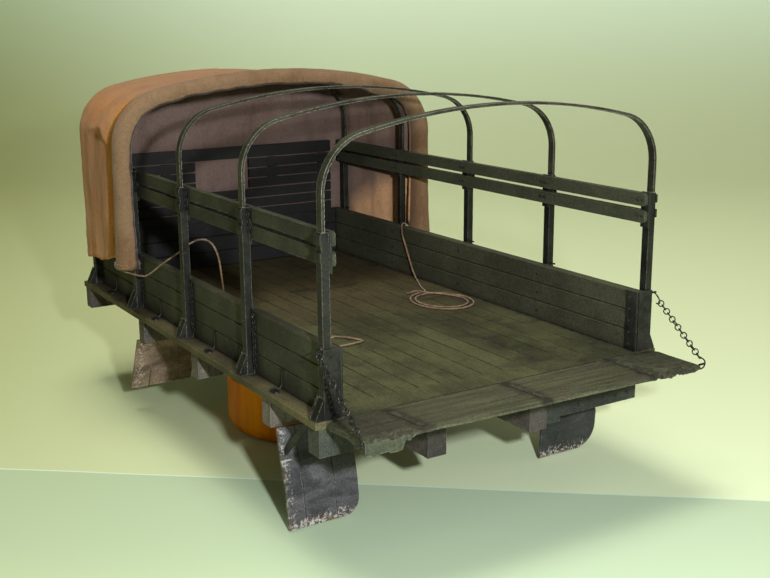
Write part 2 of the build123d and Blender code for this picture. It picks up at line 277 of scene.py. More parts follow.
@dataclass(frozen=True)
class PaintedWood:
    """Matt olive paint on thin wood: mottled, dusty, rubbed through along its edges, with dirt and painted
    shade in hollows.

    wear, dust and hollow_shade_and_dirt are how strong the bare edges, the dust and the dirt and painted
    shade in the hollows are, and far_side_light_and_dust is how much lighter the right side of the body is,
    with more dust and painted light.
    """

    name: str
    grain: Grain
    dark: Colour
    light: Colour
    bare: Colour
    dusty: Colour
    wear: float
    dust: float = 0.35
    grime_and_shade: Colour = (0.012, 0.011, 0.008)
    hollow_shade_and_dirt: float = 0.8
    far_side_light_and_dust: float = 0.0

    def tone(self, tree: Tree) -> Socket:
        """The paint's own colour, before wear."""
        return tree.fade(self.dark, self.light, tree.noise(0.055, 4.0, 0.6), 0.34, 0.66)

    def make(self) -> Material:
        """Builds the material: streaks, dust, grit, flakes, dirt in the corners and bare edges.

        Returns:
            The finished material.
        """
        tree = Tree(self.name)
        streak = tree.noise(1.1, 4.0, 0.65, 0.4, tree.mm(self.grain.value))
        fine = tree.noise(2.6, 3.0)
        colour = tree.fade(self.tone(tree), self.grime_and_shade, streak, 0.50, 0.72, 0.45)
        colour = tree.fade(colour, self.dusty, tree.noise(0.35, 5.0), 0.52, 0.75, self.dust)
        # painted light and dust: the right side of the body is made lighter and dustier
        if self.far_side_light_and_dust:
            colour = tree.fade(colour, self.dusty, tree.x, 30.0, 36.0, self.far_side_light_and_dust)
        colour = tree.grit(colour, 2.4, 0.55, 1.42)
        colour = tree.fade(colour, self.bare, tree.noise(1.3, 4.0, 0.8), 0.66, 0.72, 0.4)
        # dirt and painted shade: darker in hollows and where pieces meet
        colour = tree.mix(tree.times(tree.corners(2.2), self.hollow_shade_and_dirt), colour, self.grime_and_shade)
        rubbed = tree.times(tree.edges(0.30), tree.mask(tree.noise(0.7, 4.0, 0.75), 0.38, 0.62))
        colour = tree.mix(tree.times(rubbed, self.wear), colour, self.bare)
        return tree.finish(colour, ((streak, 0.35, 0.10), (fine, 0.35, 0.06)), (fine, 0.52, 0.82),
                           Specular_IOR_Level=0.32)


@dataclass(frozen=True)
class FloorPlanks(PaintedWood):
    """The floor's planks: each of its own tone, dark along the broken seams, browner to the front.

    pitch is the width of a plank in millimetres, and rear the place of the rear edge, where the seams stop.
    """

    pitch: float = 5.8
    rear: float = -59.2
    brown: Colour = (0.085, 0.060, 0.024)

    def tone(self, tree: Tree) -> Socket:
        """Plank tones, stains and the dirt in the seams, which stop short of the rear edge.

        Args:
            tree: The material being made.

        Returns:
            A colour.
        """
        colour = tree.fade(self.dark, self.light, tree.noise(0.045, 4.0, 0.6), 0.34, 0.64)
        plank = tree.maths("DIVIDE", tree.x, self.pitch)
        each = tree.node("TexWhiteNoise", {"noise_dimensions": "1D"}, W=tree.maths("FLOOR", plank)).outputs[0]
        colour = tree.mix(tree.times(each, 0.35), colour, self.grime_and_shade)
        forward = tree.plus(tree.y, tree.times(tree.noise(0.03, 3.0, 0.55), 50.0))
        colour = tree.fade(colour, self.brown, forward, -10.0, 75.0, 0.75)
        smudge = tree.noise(0.075, 5.0, 0.65, 0.6, tree.mm((1.0, 1.7, 1.0)))
        colour = tree.fade(colour, self.grime_and_shade, smudge, 0.52, 0.70, 0.7)
        seam = tree.below(tree.maths("PINGPONG", plank, 0.5), 0.020, 0.050)
        seam = tree.times(seam, tree.mask(tree.y, self.rear, self.rear + 0.6))
        broken = tree.mask(tree.noise(0.16, 3.0, 0.55, at=tree.mm((1.0, 0.35, 1.0))), 0.36, 0.52)
        return tree.mix(tree.times(seam, broken), colour, self.grime_and_shade)


@dataclass(frozen=True)
class GateBoardPaint(PaintedWood):
    """The tailgate's paint: streaked from end to end, browner in places and dirty round the straps."""

    brown: Colour = (0.070, 0.058, 0.040)
    strap_pitch: float = 31.0

    def tone(self, tree: Tree) -> Socket:
        """Streaks, brown patches, and dirt beside the straps and at the split ends.

        Args:
            tree: The material being made.

        Returns:
            A colour.
        """
        streak = tree.noise(0.75, 4.0, 0.6, 0.3, tree.mm((0.06, 1.0, 1.0)))
        colour = tree.fade(self.dark, self.light, streak, 0.34, 0.66)
        colour = tree.fade(colour, self.brown, tree.noise(0.06, 3.0, 0.6), 0.46, 0.68, 0.55)
        beside = tree.maths("PINGPONG", tree.x, self.strap_pitch / 2)
        beside = tree.plus(beside, tree.times(tree.noise(0.35), 5.0))
        scratch = tree.noise(1.1, 4.0, 0.75, 1.2, tree.mm((0.35, 1.3, 1.0)))
        right = tree.mask(tree.noise(0.45, 4.0, 0.75, 0.8), 0.50, 0.60, 0.75)
        left = tree.mask(tree.noise(0.6, 4.0, 0.75, 0.8), 0.52, 0.62, 0.8)
        for dirt in (tree.times(tree.below(beside, 2.4, 5.6), 0.9),
                     tree.mask(scratch, 0.61, 0.67, 0.55),
                     tree.times(tree.mask(tree.x, 27.0, 38.0), right),
                     tree.mask(tree.maths("ABSOLUTE", tree.x), 14.0, 40.0, 0.42),
                     tree.times(tree.below(tree.x, -41.0, -28.0), left)):
            colour = tree.mix(dirt, colour, self.grime_and_shade)
        return colour


@dataclass(frozen=True)
class PaintedMetal:
    """Dark painted fittings, rubbed bright along their edges, with a little rust."""

    name: str
    dark: Colour
    light: Colour
    bright: Colour
    wear: float
    rust: Colour = (0.055, 0.028, 0.014)
    grime_and_shade: Colour = (0.005, 0.005, 0.004)
    reach: float = 0.25
    gloss: float = 0.42

    def make(self) -> Material:
        """Builds the material.

        Returns:
            The finished material.
        """
        tree = Tree(self.name)
        fine = tree.noise(1.9)
        colour = tree.fade(self.dark, self.light, tree.noise(0.16, 4.0, 0.6), 0.36, 0.66)
        colour = tree.fade(colour, self.rust, tree.noise(0.5), 0.60, 0.72, 0.7)
        colour = tree.grit(colour, 2.2, 0.5, 1.5)
        # painted shade and dirt: darker in hollows and where pieces meet
        colour = tree.mix(tree.times(tree.corners(1.8), 0.8), colour, self.grime_and_shade)
        rubbed = tree.times(tree.edges(self.reach), tree.mask(fine, 0.36, 0.60))
        rubbed = tree.maths("MAXIMUM", rubbed, tree.mask(fine, 0.70, 0.76, 0.6))
        colour = tree.mix(tree.times(rubbed, self.wear), colour, self.bright)
        return tree.finish(colour, ((fine, 0.4, 0.06),), (fine, self.gloss - 0.1, self.gloss + 0.25),
                           Specular_IOR_Level=0.22)


@dataclass(frozen=True)
class ChainSteel:
    """Oxidised steel wire: dark brown, with painted highlights in light spots."""

    name: str = "chain_steel"
    dark: Colour = (0.018, 0.017, 0.015)
    light: Colour = (0.028, 0.025, 0.021)
    painted_glint: Colour = (0.34, 0.32, 0.27)

    def make(self) -> Material:
        """Builds the material.

        Returns:
            The finished material.
        """
        tree = Tree(self.name)
        patch = tree.noise(1.2)
        colour = tree.fade(self.dark, self.light, patch, 0.40, 0.62)
        # painted highlight: light spots that stand in for glints
        colour = tree.fade(colour, self.painted_glint, patch, 0.64, 0.70, 0.85)
        return tree.finish(colour, ((patch, 0.3, 0.04),), (patch, 0.34, 0.62), Metallic=0.6)


@dataclass(frozen=True)
class Canvas:
    """Cotton cloth with a fine plain weave, faded in patches and soiled where the piece says so, with painted
    shade in places.

    crown is a darker, less red tone that its top turns to, as painted shade, and painted_backlight a brighter
    tone that its lower part turns to, as painted light shining through the cloth, where these differ.
    """

    name: str
    main: Colour = (0.47, 0.175, 0.037)
    faded: Colour = (0.48, 0.225, 0.073)
    soiled: Colour = (0.19, 0.068, 0.012)
    soot_and_shade: Colour = (0.030, 0.022, 0.017)
    painted_backlight: Colour | None = None
    crown: Colour | None = None

    def make(self) -> Material:
        """Builds the material.

        Returns:
            The finished material.
        """
        tree = Tree(self.name)
        broad = tree.noise(0.05, 4.0, 0.6, 0.3)
        fine = tree.noise(0.9, 5.0, 0.75)
        hanging = tree.noise(0.14, 4.0, 0.65, at=tree.mm((1.0, 1.0, 0.3)))
        colour = tree.fade(self.main, self.faded, broad, 0.36, 0.64)
        colour = tree.fade(colour, self.soiled, hanging, 0.50, 0.74, 0.6)
        # painted shade: the top of the cloth turns darker and less red
        if self.crown:
            colour = tree.fade(colour, self.crown, tree.z, 84.0, 92.0, 0.6)
        # painted light: the lower part turns brighter, as if light shone through the cloth
        if self.painted_backlight:
            height = tree.plus(tree.plus(tree.z, tree.times(broad, 16.0)), tree.times(tree.y, 0.55))
            colour = tree.mix(tree.below(height, 92.0, 102.0), colour, self.painted_backlight)
        colour = tree.grit(tree.fade(colour, self.soiled, fine, 0.52, 0.74, 0.35), 2.6, 0.78, 1.22)
        # dirt and painted shade: darker in hollows and where pieces meet
        colour = tree.mix(tree.times(tree.corners(3.5, 0.25, 0.9), 0.55), colour, self.soiled)
        # the attribute carries painted shade as well as stains, and darkens the cloth towards soot_and_shade
        stain_and_shade = tree.node("Attribute", {"attribute_name": "stain_and_shade"}).outputs["Fac"]
        ragged = tree.plus(stain_and_shade, tree.times(tree.maths("SUBTRACT", fine, 0.5), 0.5))
        colour = tree.fade(colour, self.soot_and_shade, ragged, 0.35, 0.8, 0.95)
        flat = tree.mm(source="UV")
        warp, weft = (tree.node("TexWave", {"bands_direction": axis}, Vector=flat, Scale=1.15, Distortion=0.6,
                                Detail=1.0).outputs["Fac"] for axis in "XY")
        weave = tree.times(warp, weft)
        colour = tree.mix(tree.times(weave, 0.12), colour, self.faded)
        return tree.finish(colour, ((weave, 0.35, 0.05), (fine, 0.30, 0.12)), Roughness=0.92,
                           Specular_IOR_Level=0.15, Sheen_Weight=0.12, Sheen_Roughness=0.5)


@dataclass(frozen=True)
class Twine:
    """Tan twisted thread, a little hairy and dirty."""

    name: str = "rope"
    dark: Colour = (0.125, 0.078, 0.038)
    light: Colour = (0.30, 0.195, 0.105)
    dirt: Colour = (0.10, 0.060, 0.032)

    def make(self) -> Material:
        """Builds the material.

        Returns:
            The finished material.
        """
        tree = Tree(self.name)
        fibre = tree.noise(6.0, 2.0, 0.8)
        colour = tree.fade(self.dark, self.light, tree.noise(0.35), 0.34, 0.66)
        colour = tree.fade(colour, self.dirt, fibre, 0.55, 0.75, 0.5)
        return tree.finish(colour, ((fibre, 0.5, 0.04),), Roughness=0.85, Specular_IOR_Level=0.2,
                           Sheen_Weight=0.15)


@dataclass(frozen=True)
class ScoredCard:
    """Painted card of the flaps: smoky, creased, chipped to bare card along its lower edge.

    The chips thin out between the heights chip_low and chip_high. A worn stripe stands at worn_x, and
    crease is the height of the score across it, all in millimetres.
    """

    name: str
    dark: Colour
    light: Colour
    bare: Colour
    chip_low: float
    chip_high: float
    worn_x: float = -45.0
    crease: float = 15.6
    rust: Colour = (0.16, 0.075, 0.032)
    shade: Colour = (0.010, 0.014, 0.010)

    def make(self) -> Material:
        """Builds the material.

        Returns:
            The finished material.
        """
        tree = Tree(self.name)
        smoke = tree.noise(0.11, 5.0, 0.65, 0.5, tree.mm((1.0, 1.0, 1.9)))
        fine = tree.noise(1.5, 4.0, 0.75)
        runs = tree.noise(0.5, 4.0, 0.6, at=tree.mm((1.0, 1.0, 0.25)))
        colour = tree.fade(self.dark, self.light, smoke, 0.36, 0.64)
        colour = tree.grit(tree.fade(colour, self.light, runs, 0.55, 0.72, 0.35), 2.2, 0.6, 1.4)
        colour = tree.fade(colour, self.shade, tree.x, -10.0, 12.0, 0.5)
        beside = tree.maths("ABSOLUTE", tree.maths("SUBTRACT", tree.x, self.worn_x))
        worn = tree.below(beside, 0.3, 3.2, 0.85)
        near_edge = tree.below(tree.z, self.chip_low, self.chip_high)
        near_edge = tree.maths("MAXIMUM", near_edge, tree.times(worn, 0.8))
        flakes = tree.plus(tree.noise(1.15, 5.0, 0.85), tree.times(near_edge, 0.15))
        chipped = tree.times(tree.mask(flakes, 0.645, 0.675), near_edge)
        rim = tree.times(tree.edges(0.4), tree.mask(fine, 0.48, 0.62, 0.45))
        torn = tree.fade(self.bare, self.rust, tree.noise(0.5, 3.0), 0.52, 0.64)
        colour = tree.mix(tree.maths("MAXIMUM", chipped, rim), colour, torn)
        score = tree.times(tree.mask(tree.z, self.crease - 0.22, self.crease - 0.05),
                           tree.below(tree.z, self.crease + 0.05, self.crease + 0.22))
        score = tree.times(score, tree.mask(worn, 0.2, 0.5))
        colour = tree.mix(tree.times(score, 0.8), colour, self.bare)
        return tree.finish(colour, ((smoke, 0.4, 0.35), (fine, 0.35, 0.08)), (fine, 0.45, 0.8),
                           Specular_IOR_Level=0.35)


@dataclass(frozen=True)
class AmberPlastic:
    """Moulded amber plastic of the plinth, smooth with faint flow lines and scuffs."""

    name: str = "amber_plastic"
    deep: Colour = (0.55, 0.145, 0.0)
    clear: Colour = (0.68, 0.225, 0.0)
    scuffed: Colour = (0.60, 0.23, 0.004)

    def make(self) -> Material:
        """Builds the material.

        Returns:
            The finished material.
        """
        tree = Tree(self.name)
        flow = tree.noise(0.22, 3.0, 0.5, 0.4, tree.mm((1.0, 1.0, 0.15)))
        scuff = tree.noise(0.6, at=tree.mm((1.0, 1.0, 5.0)))
        colour = tree.fade(self.deep, self.clear, flow, 0.35, 0.65)
        colour = tree.fade(colour, self.scuffed, scuff, 0.62, 0.72, 0.18)
        return tree.finish(colour, ((flow, 0.08, 0.3),), (scuff, 0.26, 0.46), Specular_IOR_Level=0.05)


# ---------------------------------------------------------------- making pieces
def settle(bm: BMesh, name: str, body: str, materials: Iterable[Material],
           stands_for: Iterable[str] = (), crease: float = 40.0) -> bpy.types.Object:
    """Turns a mesh drawn in millimetres on the floor's axes into a finished piece of the object.

    Args:
        bm: The mesh, which is freed.
        name: Name of the piece.
        body: CAD body that it rides on.
        materials: Its materials, in the order of its faces' indices.
        stands_for: CAD nodes that it replaces.
        crease: Edges sharper than this many degrees stay sharp.

    Returns:
        The piece's object, at the origin.
    """
    bm.transform(TO_ROW)
    mesh = bpy.data.meshes.new(name)
    bm.to_mesh(mesh)
    bm.free()
    mesh.shade_smooth()
    mesh.set_sharp_from_angle(angle=math.radians(crease))
    made = bpy.data.objects.new(name, mesh)
    bpy.context.scene.collection.objects.link(made)
    for material in materials:
        mesh.materials.append(material)
    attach(made, body)
    if stands_for:
        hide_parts(*stands_for)
    log.info("%s: %d faces on %s", name, len(mesh.polygons), body)
    return made


def facing(place: tuple, direction: tuple, twist: float = 0.0) -> Matrix:
    """A placement that turns +Z to a direction.

    Args:
        place: Where the origin goes.
        direction: Where +Z goes.
        twist: Turn about +Z before that, in radians.

    Returns:
        The placement as a 4x4 matrix.
    """
    turn = Vector(direction).to_track_quat("Z", "Y").to_matrix().to_4x4()
    return Matrix.Translation(place) @ turn @ Matrix.Rotation(twist, 4, "Z")


def turned(place: tuple, angle: float, axis: str) -> Matrix:
    """A placement that turns a shape by an angle in radians about one axis."""
    return Matrix.Translation(place) @ Matrix.Rotation(angle, 4, axis)


def add_spline(curve: bpy.types.Curve, kind: str, points: Iterable[Vector | tuple], steps: int) -> None:
    """Adds one open spline to a curve.

    Args:
        curve: The curve.
        kind: NURBS, which runs smoothly past its points, or POLY.
        points: Its points.
        steps: Points of the finished line for each one of these.
    """
    points = list(points)
    spline = curve.splines.new(kind)
    spline.points.add(len(points) - 1)
    for knot, place in zip(spline.points, points):
        knot.co = (*place, 1.0)
    spline.order_u, spline.use_endpoint_u, spline.resolution_u = 3, True, steps


def new_curve(name: str, radius: float = 0.0, sides: int = 0) -> bpy.types.Curve:
    """Makes an empty curve.

    Args:
        name: Name of the curve.
        radius: Radius of its round section, or 0 for a bare line.
        sides: Resolution of the section: 1 for six sides, 2 for eight.

    Returns:
        The curve.
    """
    curve = bpy.data.curves.new(name, "CURVE")
    curve.dimensions, curve.use_fill_caps = "3D", True
    curve.bevel_depth, curve.bevel_resolution = radius, sides
    return curve


def traced(curve: bpy.types.Curve) -> bpy.types.Mesh:
    """The mesh of a curve: its surface, or the points of its line if it has no section."""
    holder = bpy.data.objects.new(curve.name, curve)
    mesh = bpy.data.meshes.new_from_object(holder)
    bpy.data.objects.remove(holder)
    return mesh


def bent_wire(bm: BMesh, points: Iterable[tuple], radius: float) -> None:
    """Adds a round wire that runs smoothly past given points.

    Args:
        bm: Mesh that the wire is added to.
        points: Control points in millimetres.
        radius: Radius of the wire.
    """
    curve = new_curve("wire", radius, 2)
    add_spline(curve, "NURBS", points, 6)
    mesh = traced(curve)
    bm.from_mesh(mesh)
    bpy.data.curves.remove(curve)
    bpy.data.meshes.remove(mesh)


def block(bm: BMesh, size: tuple, middle: tuple = (0.0, 0.0, 0.0)) -> list[bmesh.types.BMVert]:
    """Adds a box with its middle at a place, and returns its corners."""
    corners = bmesh.ops.create_cube(bm, size=1.0)["verts"]
    bmesh.ops.scale(bm, vec=size, verts=corners)
    bmesh.ops.translate(bm, vec=middle, verts=corners)
    return corners


def round_off(bm: BMesh, edges: Iterable[bmesh.types.BMEdge], offset: float, segments: int = 2) -> None:
    """Rounds some edges of a mesh."""
    bmesh.ops.bevel(bm, geom=list(edges), offset=offset, segments=segments, affect="EDGES", profile=0.5,
                    material=-1)


def edges_where(bm: BMesh, test: Callable[[Vector], bool]) -> list[bmesh.types.BMEdge]:
    """The edges whose two ends pass a test."""
    return [e for e in bm.edges if all(test(v.co) for v in e.verts)]


def extruded(bm: BMesh) -> list[bmesh.types.BMVert]:
    """Extrudes the whole sheet into a closed shell, and returns the new side's points."""
    grown = bmesh.ops.extrude_face_region(bm, geom=bm.faces[:])["geom"]
    return [v for v in grown if isinstance(v, bmesh.types.BMVert)]


class Stamp:
    """A small shape that is made once and pressed into a mesh many times."""

    def __init__(self, draw: Callable[[BMesh], None]) -> None:
        """Draws the shape round the origin.

        Args:
            draw: Draws it, in millimetres, with +Z as its outward or long axis.
        """
        bm = bmesh.new()
        draw(bm)
        bmesh.ops.recalc_face_normals(bm, faces=bm.faces)
        self.mesh = bpy.data.meshes.new("stamp")
        bm.to_mesh(self.mesh)
        bm.free()

    def press(self, bm: BMesh, place: Matrix) -> None:
        """Adds one copy.

        Args:
            bm: Mesh that gets it.
            place: Where it goes.
        """
        copied = self.mesh.copy()
        copied.transform(place)
        bm.from_mesh(copied)
        bpy.data.meshes.remove(copied)


def ring(outer: float, wire: float, stretch: float = 1.0, steps: int = 16, sides: int = 6) -> Stamp:
    """One round link in the x-z plane, its long way along z.

    Args:
        outer: Outer diameter across.
        wire: Diameter of its wire.
        stretch: Length over width.
        steps: Sections round the ring.
        sides: Sides of the wire.

    Returns:
        The link's stamp.
    """
    def draw(bm: BMesh) -> None:
        """Spins a small circle round the ring's middle."""
        start = Matrix.Translation(((outer - wire) / 2, 0.0, 0.0))
        bmesh.ops.create_circle(bm, segments=sides, radius=wire / 2, matrix=start)
        bmesh.ops.spin(bm, geom=bm.verts[:] + bm.edges[:], cent=(0, 0, 0), axis=(0, 1, 0), dvec=(0, 0, 0),
                       angle=2 * math.pi, steps=steps, use_merge=True)
        bmesh.ops.remove_doubles(bm, verts=bm.verts, dist=0.001)
        bmesh.ops.scale(bm, vec=(1.0, 1.0, stretch), verts=bm.verts)
    return Stamp(draw)


def bolt(radius: float, height: float, sides: int = 8) -> Stamp:
    """One domed bolt head that stands on z = 0.

    Args:
        radius: Radius of the head.
        height: Height of the head.
        sides: Sides round it.

    Returns:
        The bolt head's stamp.
    """
    def draw(bm: BMesh) -> None:
        """Makes a short tapered drum, sunk a little, and rounds its rim."""
        sunk = 0.1
        bmesh.ops.create_cone(bm, cap_ends=True, segments=sides, radius1=radius, radius2=radius * 0.82,
                              depth=height + sunk, matrix=Matrix.Translation((0, 0, (height - sunk) / 2)))
        round_off(bm, edges_where(bm, lambda at: at.z > height / 2), height * 0.45)
    return Stamp(draw)


@dataclass(frozen=True)
class Arch:
    """Outline of the cloth over a bow: a leg, a shoulder, the crown, a shoulder, a leg.

    leg_x is how far out the legs are, crest the height of the top, shoulder the radius of the shoulders, low
    the height of the feet, and slope how steep the crown is where it meets the shoulders.
    """

    leg_x: float
    crest: float
    shoulder: float
    low: float
    slope: float = math.radians(13.0)

    @property
    def spring(self) -> float:
        """Height where the legs end and the shoulders start."""
        return self.crest - self.crown_r * (1 - math.cos(self.slope)) - self.shoulder * math.cos(self.slope)

    @property
    def crown_r(self) -> float:
        """Radius of the crown."""
        return (self.leg_x - self.shoulder + self.shoulder * math.sin(self.slope)) / math.sin(self.slope)

    @property
    def lengths(self) -> tuple[float, float, float]:
        """Lengths of a leg, a shoulder and the whole crown."""
        bend = self.shoulder * (math.pi / 2 - self.slope)
        return self.spring - self.low, bend, 2 * self.crown_r * self.slope

    @property
    def total(self) -> float:
        """Length from foot to foot."""
        leg, bend, crown = self.lengths
        return 2 * leg + 2 * bend + crown

    def at(self, run: float) -> tuple[float, float, float, float]:
        """A point of the outline.

        Args:
            run: Distance along it from the left foot.

        Returns:
            x and z of the point, and x and z of the outward direction there.
        """
        total = self.total
        if run > total / 2:
            x, z, out_x, out_z = self.at(total - run)
            return -x, z, -out_x, out_z
        leg, bend, _ = self.lengths
        if run <= leg:
            return -self.leg_x, self.low + run, -1.0, 0.0
        if run <= leg + bend:
            turn = (run - leg) / self.shoulder
            out_x, out_z = -math.cos(turn), math.sin(turn)
            return self.shoulder * (1 + out_x) - self.leg_x, self.spring + self.shoulder * out_z, out_x, out_z
        turn = self.slope - (run - leg - bend) / self.crown_r
        out_x, out_z = -math.sin(turn), math.cos(turn)
        return self.crown_r * out_x, self.crest - self.crown_r * (1 - out_z), out_x, out_z


def ripple(a: float, b: float = 0.0, c: float = 0.0) -> float:
    """Smooth repeatable noise from about -1 to 1 at a place."""
    return noise.noise(Vector((a, b, c)))


def hump(value: float, middle: float, width: float) -> float:
    """1 at the middle, falling to 0 within about two widths on both sides."""
    return math.exp(-((value - middle) / width) ** 2)


def between(value: float, *table: tuple[float, float]) -> float:
    """Reads a table of (place, value) pairs, smoothly from one to the next.

    Args:
        value: Where to read.
        *table: Pairs in rising order of place.

    Returns:
        The value there, held beyond the ends.
    """
    if value <= table[0][0]:
        return table[0][1]
    for (a, low), (b, high) in zip(table, table[1:]):
        if value <= b:
            t = (value - a) / (b - a)
            return low + (high - low) * t * t * (3 - 2 * t)
    return table[-1][1]


# ---------------------------------------------------------------- cords
@dataclass
class Rope:
    """A twisted rope tied to the rolled canvas, which drops over the boards and ends in turns on the floor.

    Places and sizes are in millimetres on the floor's axes and angles in degrees; only the real length is in
    metres. The coil's turns start at the angle start, run anticlockwise from above if way is 1, lose the
    share shrink of their size with each turn, and are drawn to a point at both ends of its long way by pinch.
    """

    side: str
    run: list[tuple]
    turns: float
    middle: tuple[float, float]
    radii: tuple[float, float]
    tilt: float
    start: float
    way: int
    shrink: float
    length: float
    tail: tuple = ()
    pinch: float = 0.0
    diameter: float = 0.50
    pitch: float = 1.7
    per_turn: int = 14
    strands: int = 3

    def coil(self) -> list[Vector]:
        """The turns of the coil, as more points of the rope's own line.

        Returns:
            Points in millimetres.
        """
        made = []
        turn = Matrix.Translation((*self.middle, 0.0)) @ Matrix.Rotation(math.radians(self.tilt), 4, "Z")
        for n in range(1, round(self.turns * self.per_turn)):
            done = n / self.per_turn
            angle = math.radians(self.start) + self.way * 2 * math.pi * done
            size = 1.0 - self.shrink * max(0.0, done - 0.08) + 0.018 * math.sin(1.7 * angle)
            narrow = abs(math.sin(angle)) ** self.pinch
            lift = 0.32 + 0.05 * math.sin(2.3 * angle) ** 2
            made.append(turn @ Vector((self.radii[0] * size * math.cos(angle),
                                       self.radii[1] * size * math.sin(angle) * narrow, lift)))
        return made

    def path(self) -> list[Vector]:
        """Points along the rope's one smooth open spline, close together.

        Returns:
            Points in metres in the row frame.
        """
        curve = new_curve(f"rope_{self.side}_line")
        add_spline(curve, "NURBS", (TO_ROW @ Vector(p) for p in (*self.run, *self.coil(), *self.tail)), 14)
        mesh = traced(curve)
        points = [v.co.copy() for v in mesh.vertices]
        bpy.data.meshes.remove(mesh)
        return points

    def twisted(self, path: list[Vector]) -> bpy.types.Mesh:
        """Strands laid round a line.

        Args:
            path: Points of the rope's middle, in metres.

        Returns:
            The strands as one mesh.
        """
        diameter = self.diameter * MM
        thick = diameter / (1 + 1 / math.sin(math.pi / self.strands))
        reach = (diameter - thick) / 2
        curve = new_curve("strands", thick / 2 * 1.06, 1)
        side = (path[1] - path[0]).orthogonal().normalized()
        frames, gone = [], 0.0
        for n, point in enumerate(path):
            ahead = (path[min(n + 1, len(path) - 1)] - path[max(n - 1, 0)]).normalized()
            side = (side - ahead * side.dot(ahead)).normalized()
            gone += (point - path[n - 1]).length if n else 0.0
            frames.append((point, side.copy(), ahead.cross(side), gone / (self.pitch * MM)))
        for strand in range(self.strands):
            turns = ((*frame[:3], 2 * math.pi * (frame[3] + strand / self.strands)) for frame in frames)
            add_spline(curve, "POLY", (point + reach * (math.cos(turn) * across + math.sin(turn) * up)
                                       for point, across, up, turn in turns), 12)
        mesh = traced(curve)
        mesh.shade_smooth()
        return mesh

    def build(self, material: Material) -> bpy.types.Object:
        """Args:
            material: The rope's finish.

        Returns:
            The rope's object.
        """
        path = self.path()
        mesh = self.twisted(path)
        mesh.name = f"rope_{self.side}_strands"
        made = bpy.data.objects.new(mesh.name, mesh)
        bpy.context.scene.collection.objects.link(made)
        mesh.materials.append(material)
        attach(made, "bed")
        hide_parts(f"rope_{self.side}", f"rope_coil_{self.side}")
        log.info("%s: %.1f mm long", made.name, sum((b - a).length for a, b in zip(path, path[1:])) / MM)
        return made


ROPES = (
    Rope("left",
         [(-49.9, 105.6, 12.0), (-48.4, 104.6, 11.2), (-46.4, 101.8, 10.7), (-45.2, 97.6, 10.8),
          (-44.6, 93.6, 12.9), (-43.0, 89.6, 15.9), (-41.2, 84.2, 18.9), (-40.6, 78.4, 22.3),
          (-39.9, 71.6, 25.0), (-39.4, 65.6, 25.3), (-39.2, 61.9, 22.4), (-39.1, 60.7, 17.4),
          (-38.8, 60.2, 11.4), (-38.0, 59.4, 5.2), (-36.2, 57.8, 0.9), (-32.4, 55.6, 0.32),
          (-29.2, 54.8, 0.32), (-25.6, 54.5, 0.32)],
         turns=1.25, middle=(-18.0, 47.5), radii=(10.4, 5.4), tilt=-27.0, start=150.0, way=-1, shrink=0.22,
         length=0.137, pinch=0.9),
    Rope("right",
         [(44.0, 104.3, 14.6), (42.4, 103.4, 15.6), (40.4, 102.2, 15.7), (39.6, 100.8, 12.8),
          (39.6, 98.6, 9.2), (39.5, 96.8, 6.2), (39.3, 94.6, 2.8), (38.6, 91.4, 0.6), (36.4, 86.6, 0.32),
          (33.6, 81.0, 0.32), (32.6, 76.8, 0.32)],
         turns=1.9, middle=(30.4, 65.4), radii=(9.3, 10.9), tilt=0.0, start=80.0, way=1, shrink=0.18,
         length=0.151,
         tail=((32.2, 75.2, 0.34), (30.6, 75.6, 0.6), (29.7, 76.0, 0.98), (28.3, 76.9, 0.98),
               (27.4, 77.5, 0.5), (26.3, 78.0, 0.32))),
)


def roll_tie(material: Material) -> None:
    """Puts the binding round the foot of the rolled canvas: thread pulled tight, its turns at a slant.

    Args:
        material: The thread's finish.
    """
    bm = bmesh.new()
    turn = ring(7.0, 0.42, 0.96, 40)
    for z, lean, wide in ((13.2, 4.0, 1.0), (13.7, -5.0, 1.01), (14.1, 2.0, 0.99)):
        place = turned((-48.1, 103.3, z), math.radians(lean) + math.pi / 2, "X")
        turn.press(bm, place @ Matrix.Scale(wide, 4))
    settle(bm, "roll_tie", "bed", [material])


# ---------------------------------------------------------------- cloth
@dataclass
class Cloth:
    """A sheet of canvas: a flat grid whose points are moved to where the cloth hangs.

    Sizes are in millimetres. The outer side takes the first of the materials and the inner side the last.
    """

    materials: list[Material]

    def place(self, u: float, v: float) -> Vector:
        """Where the point at shares u across and v along the sheet hangs."""
        raise NotImplementedError

    def stain_and_shade(self, u: float, v: float) -> float:
        """How soiled the sheet is at that point, with any painted shade, from 0 to 1."""
        raise NotImplementedError

    def sheet(self, name: str, node: str, faces: tuple[int, int], cut: tuple[float, float], thickness: float,
              crease: float = 60.0) -> bpy.types.Object:
        """Makes the sheet, with its UV map, its stains and painted shade, and its thickness.

        Args:
            name: Name of the piece.
            node: CAD node that it replaces.
            faces: Faces across and along.
            cut: Width and length that the weave is laid out on.
            thickness: Of the cloth, inwards from its faces.
            crease: Edges sharper than this many degrees stay sharp.

        Returns:
            The sheet's object.
        """
        bm = bmesh.new()
        uv = bm.loops.layers.uv.new("cloth")
        # this layer holds painted shade as well as stains
        dirt = bm.verts.layers.float.new("stain_and_shade")
        bmesh.ops.create_grid(bm, x_segments=faces[0], y_segments=faces[1], size=0.5)
        for face in bm.faces:
            for loop in face.loops:
                u, v = loop.vert.co.x + 0.5, loop.vert.co.y + 0.5
                loop[uv].uv = (u * cut[0] * MM, v * cut[1] * MM)
        for vert in bm.verts:
            u, v = vert.co.x + 0.5, vert.co.y + 0.5
            vert[dirt] = self.stain_and_shade(u, v)
            vert.co = self.place(u, v)
        made = settle(bm, name, "bed", self.materials, [node], crease)
        wall = made.modifiers.new("wall", "SOLIDIFY")
        wall.thickness, wall.offset, wall.use_even_offset = thickness * MM, -1.0, True
        wall.material_offset, wall.material_offset_rim = len(self.materials) - 1, 0
        return made


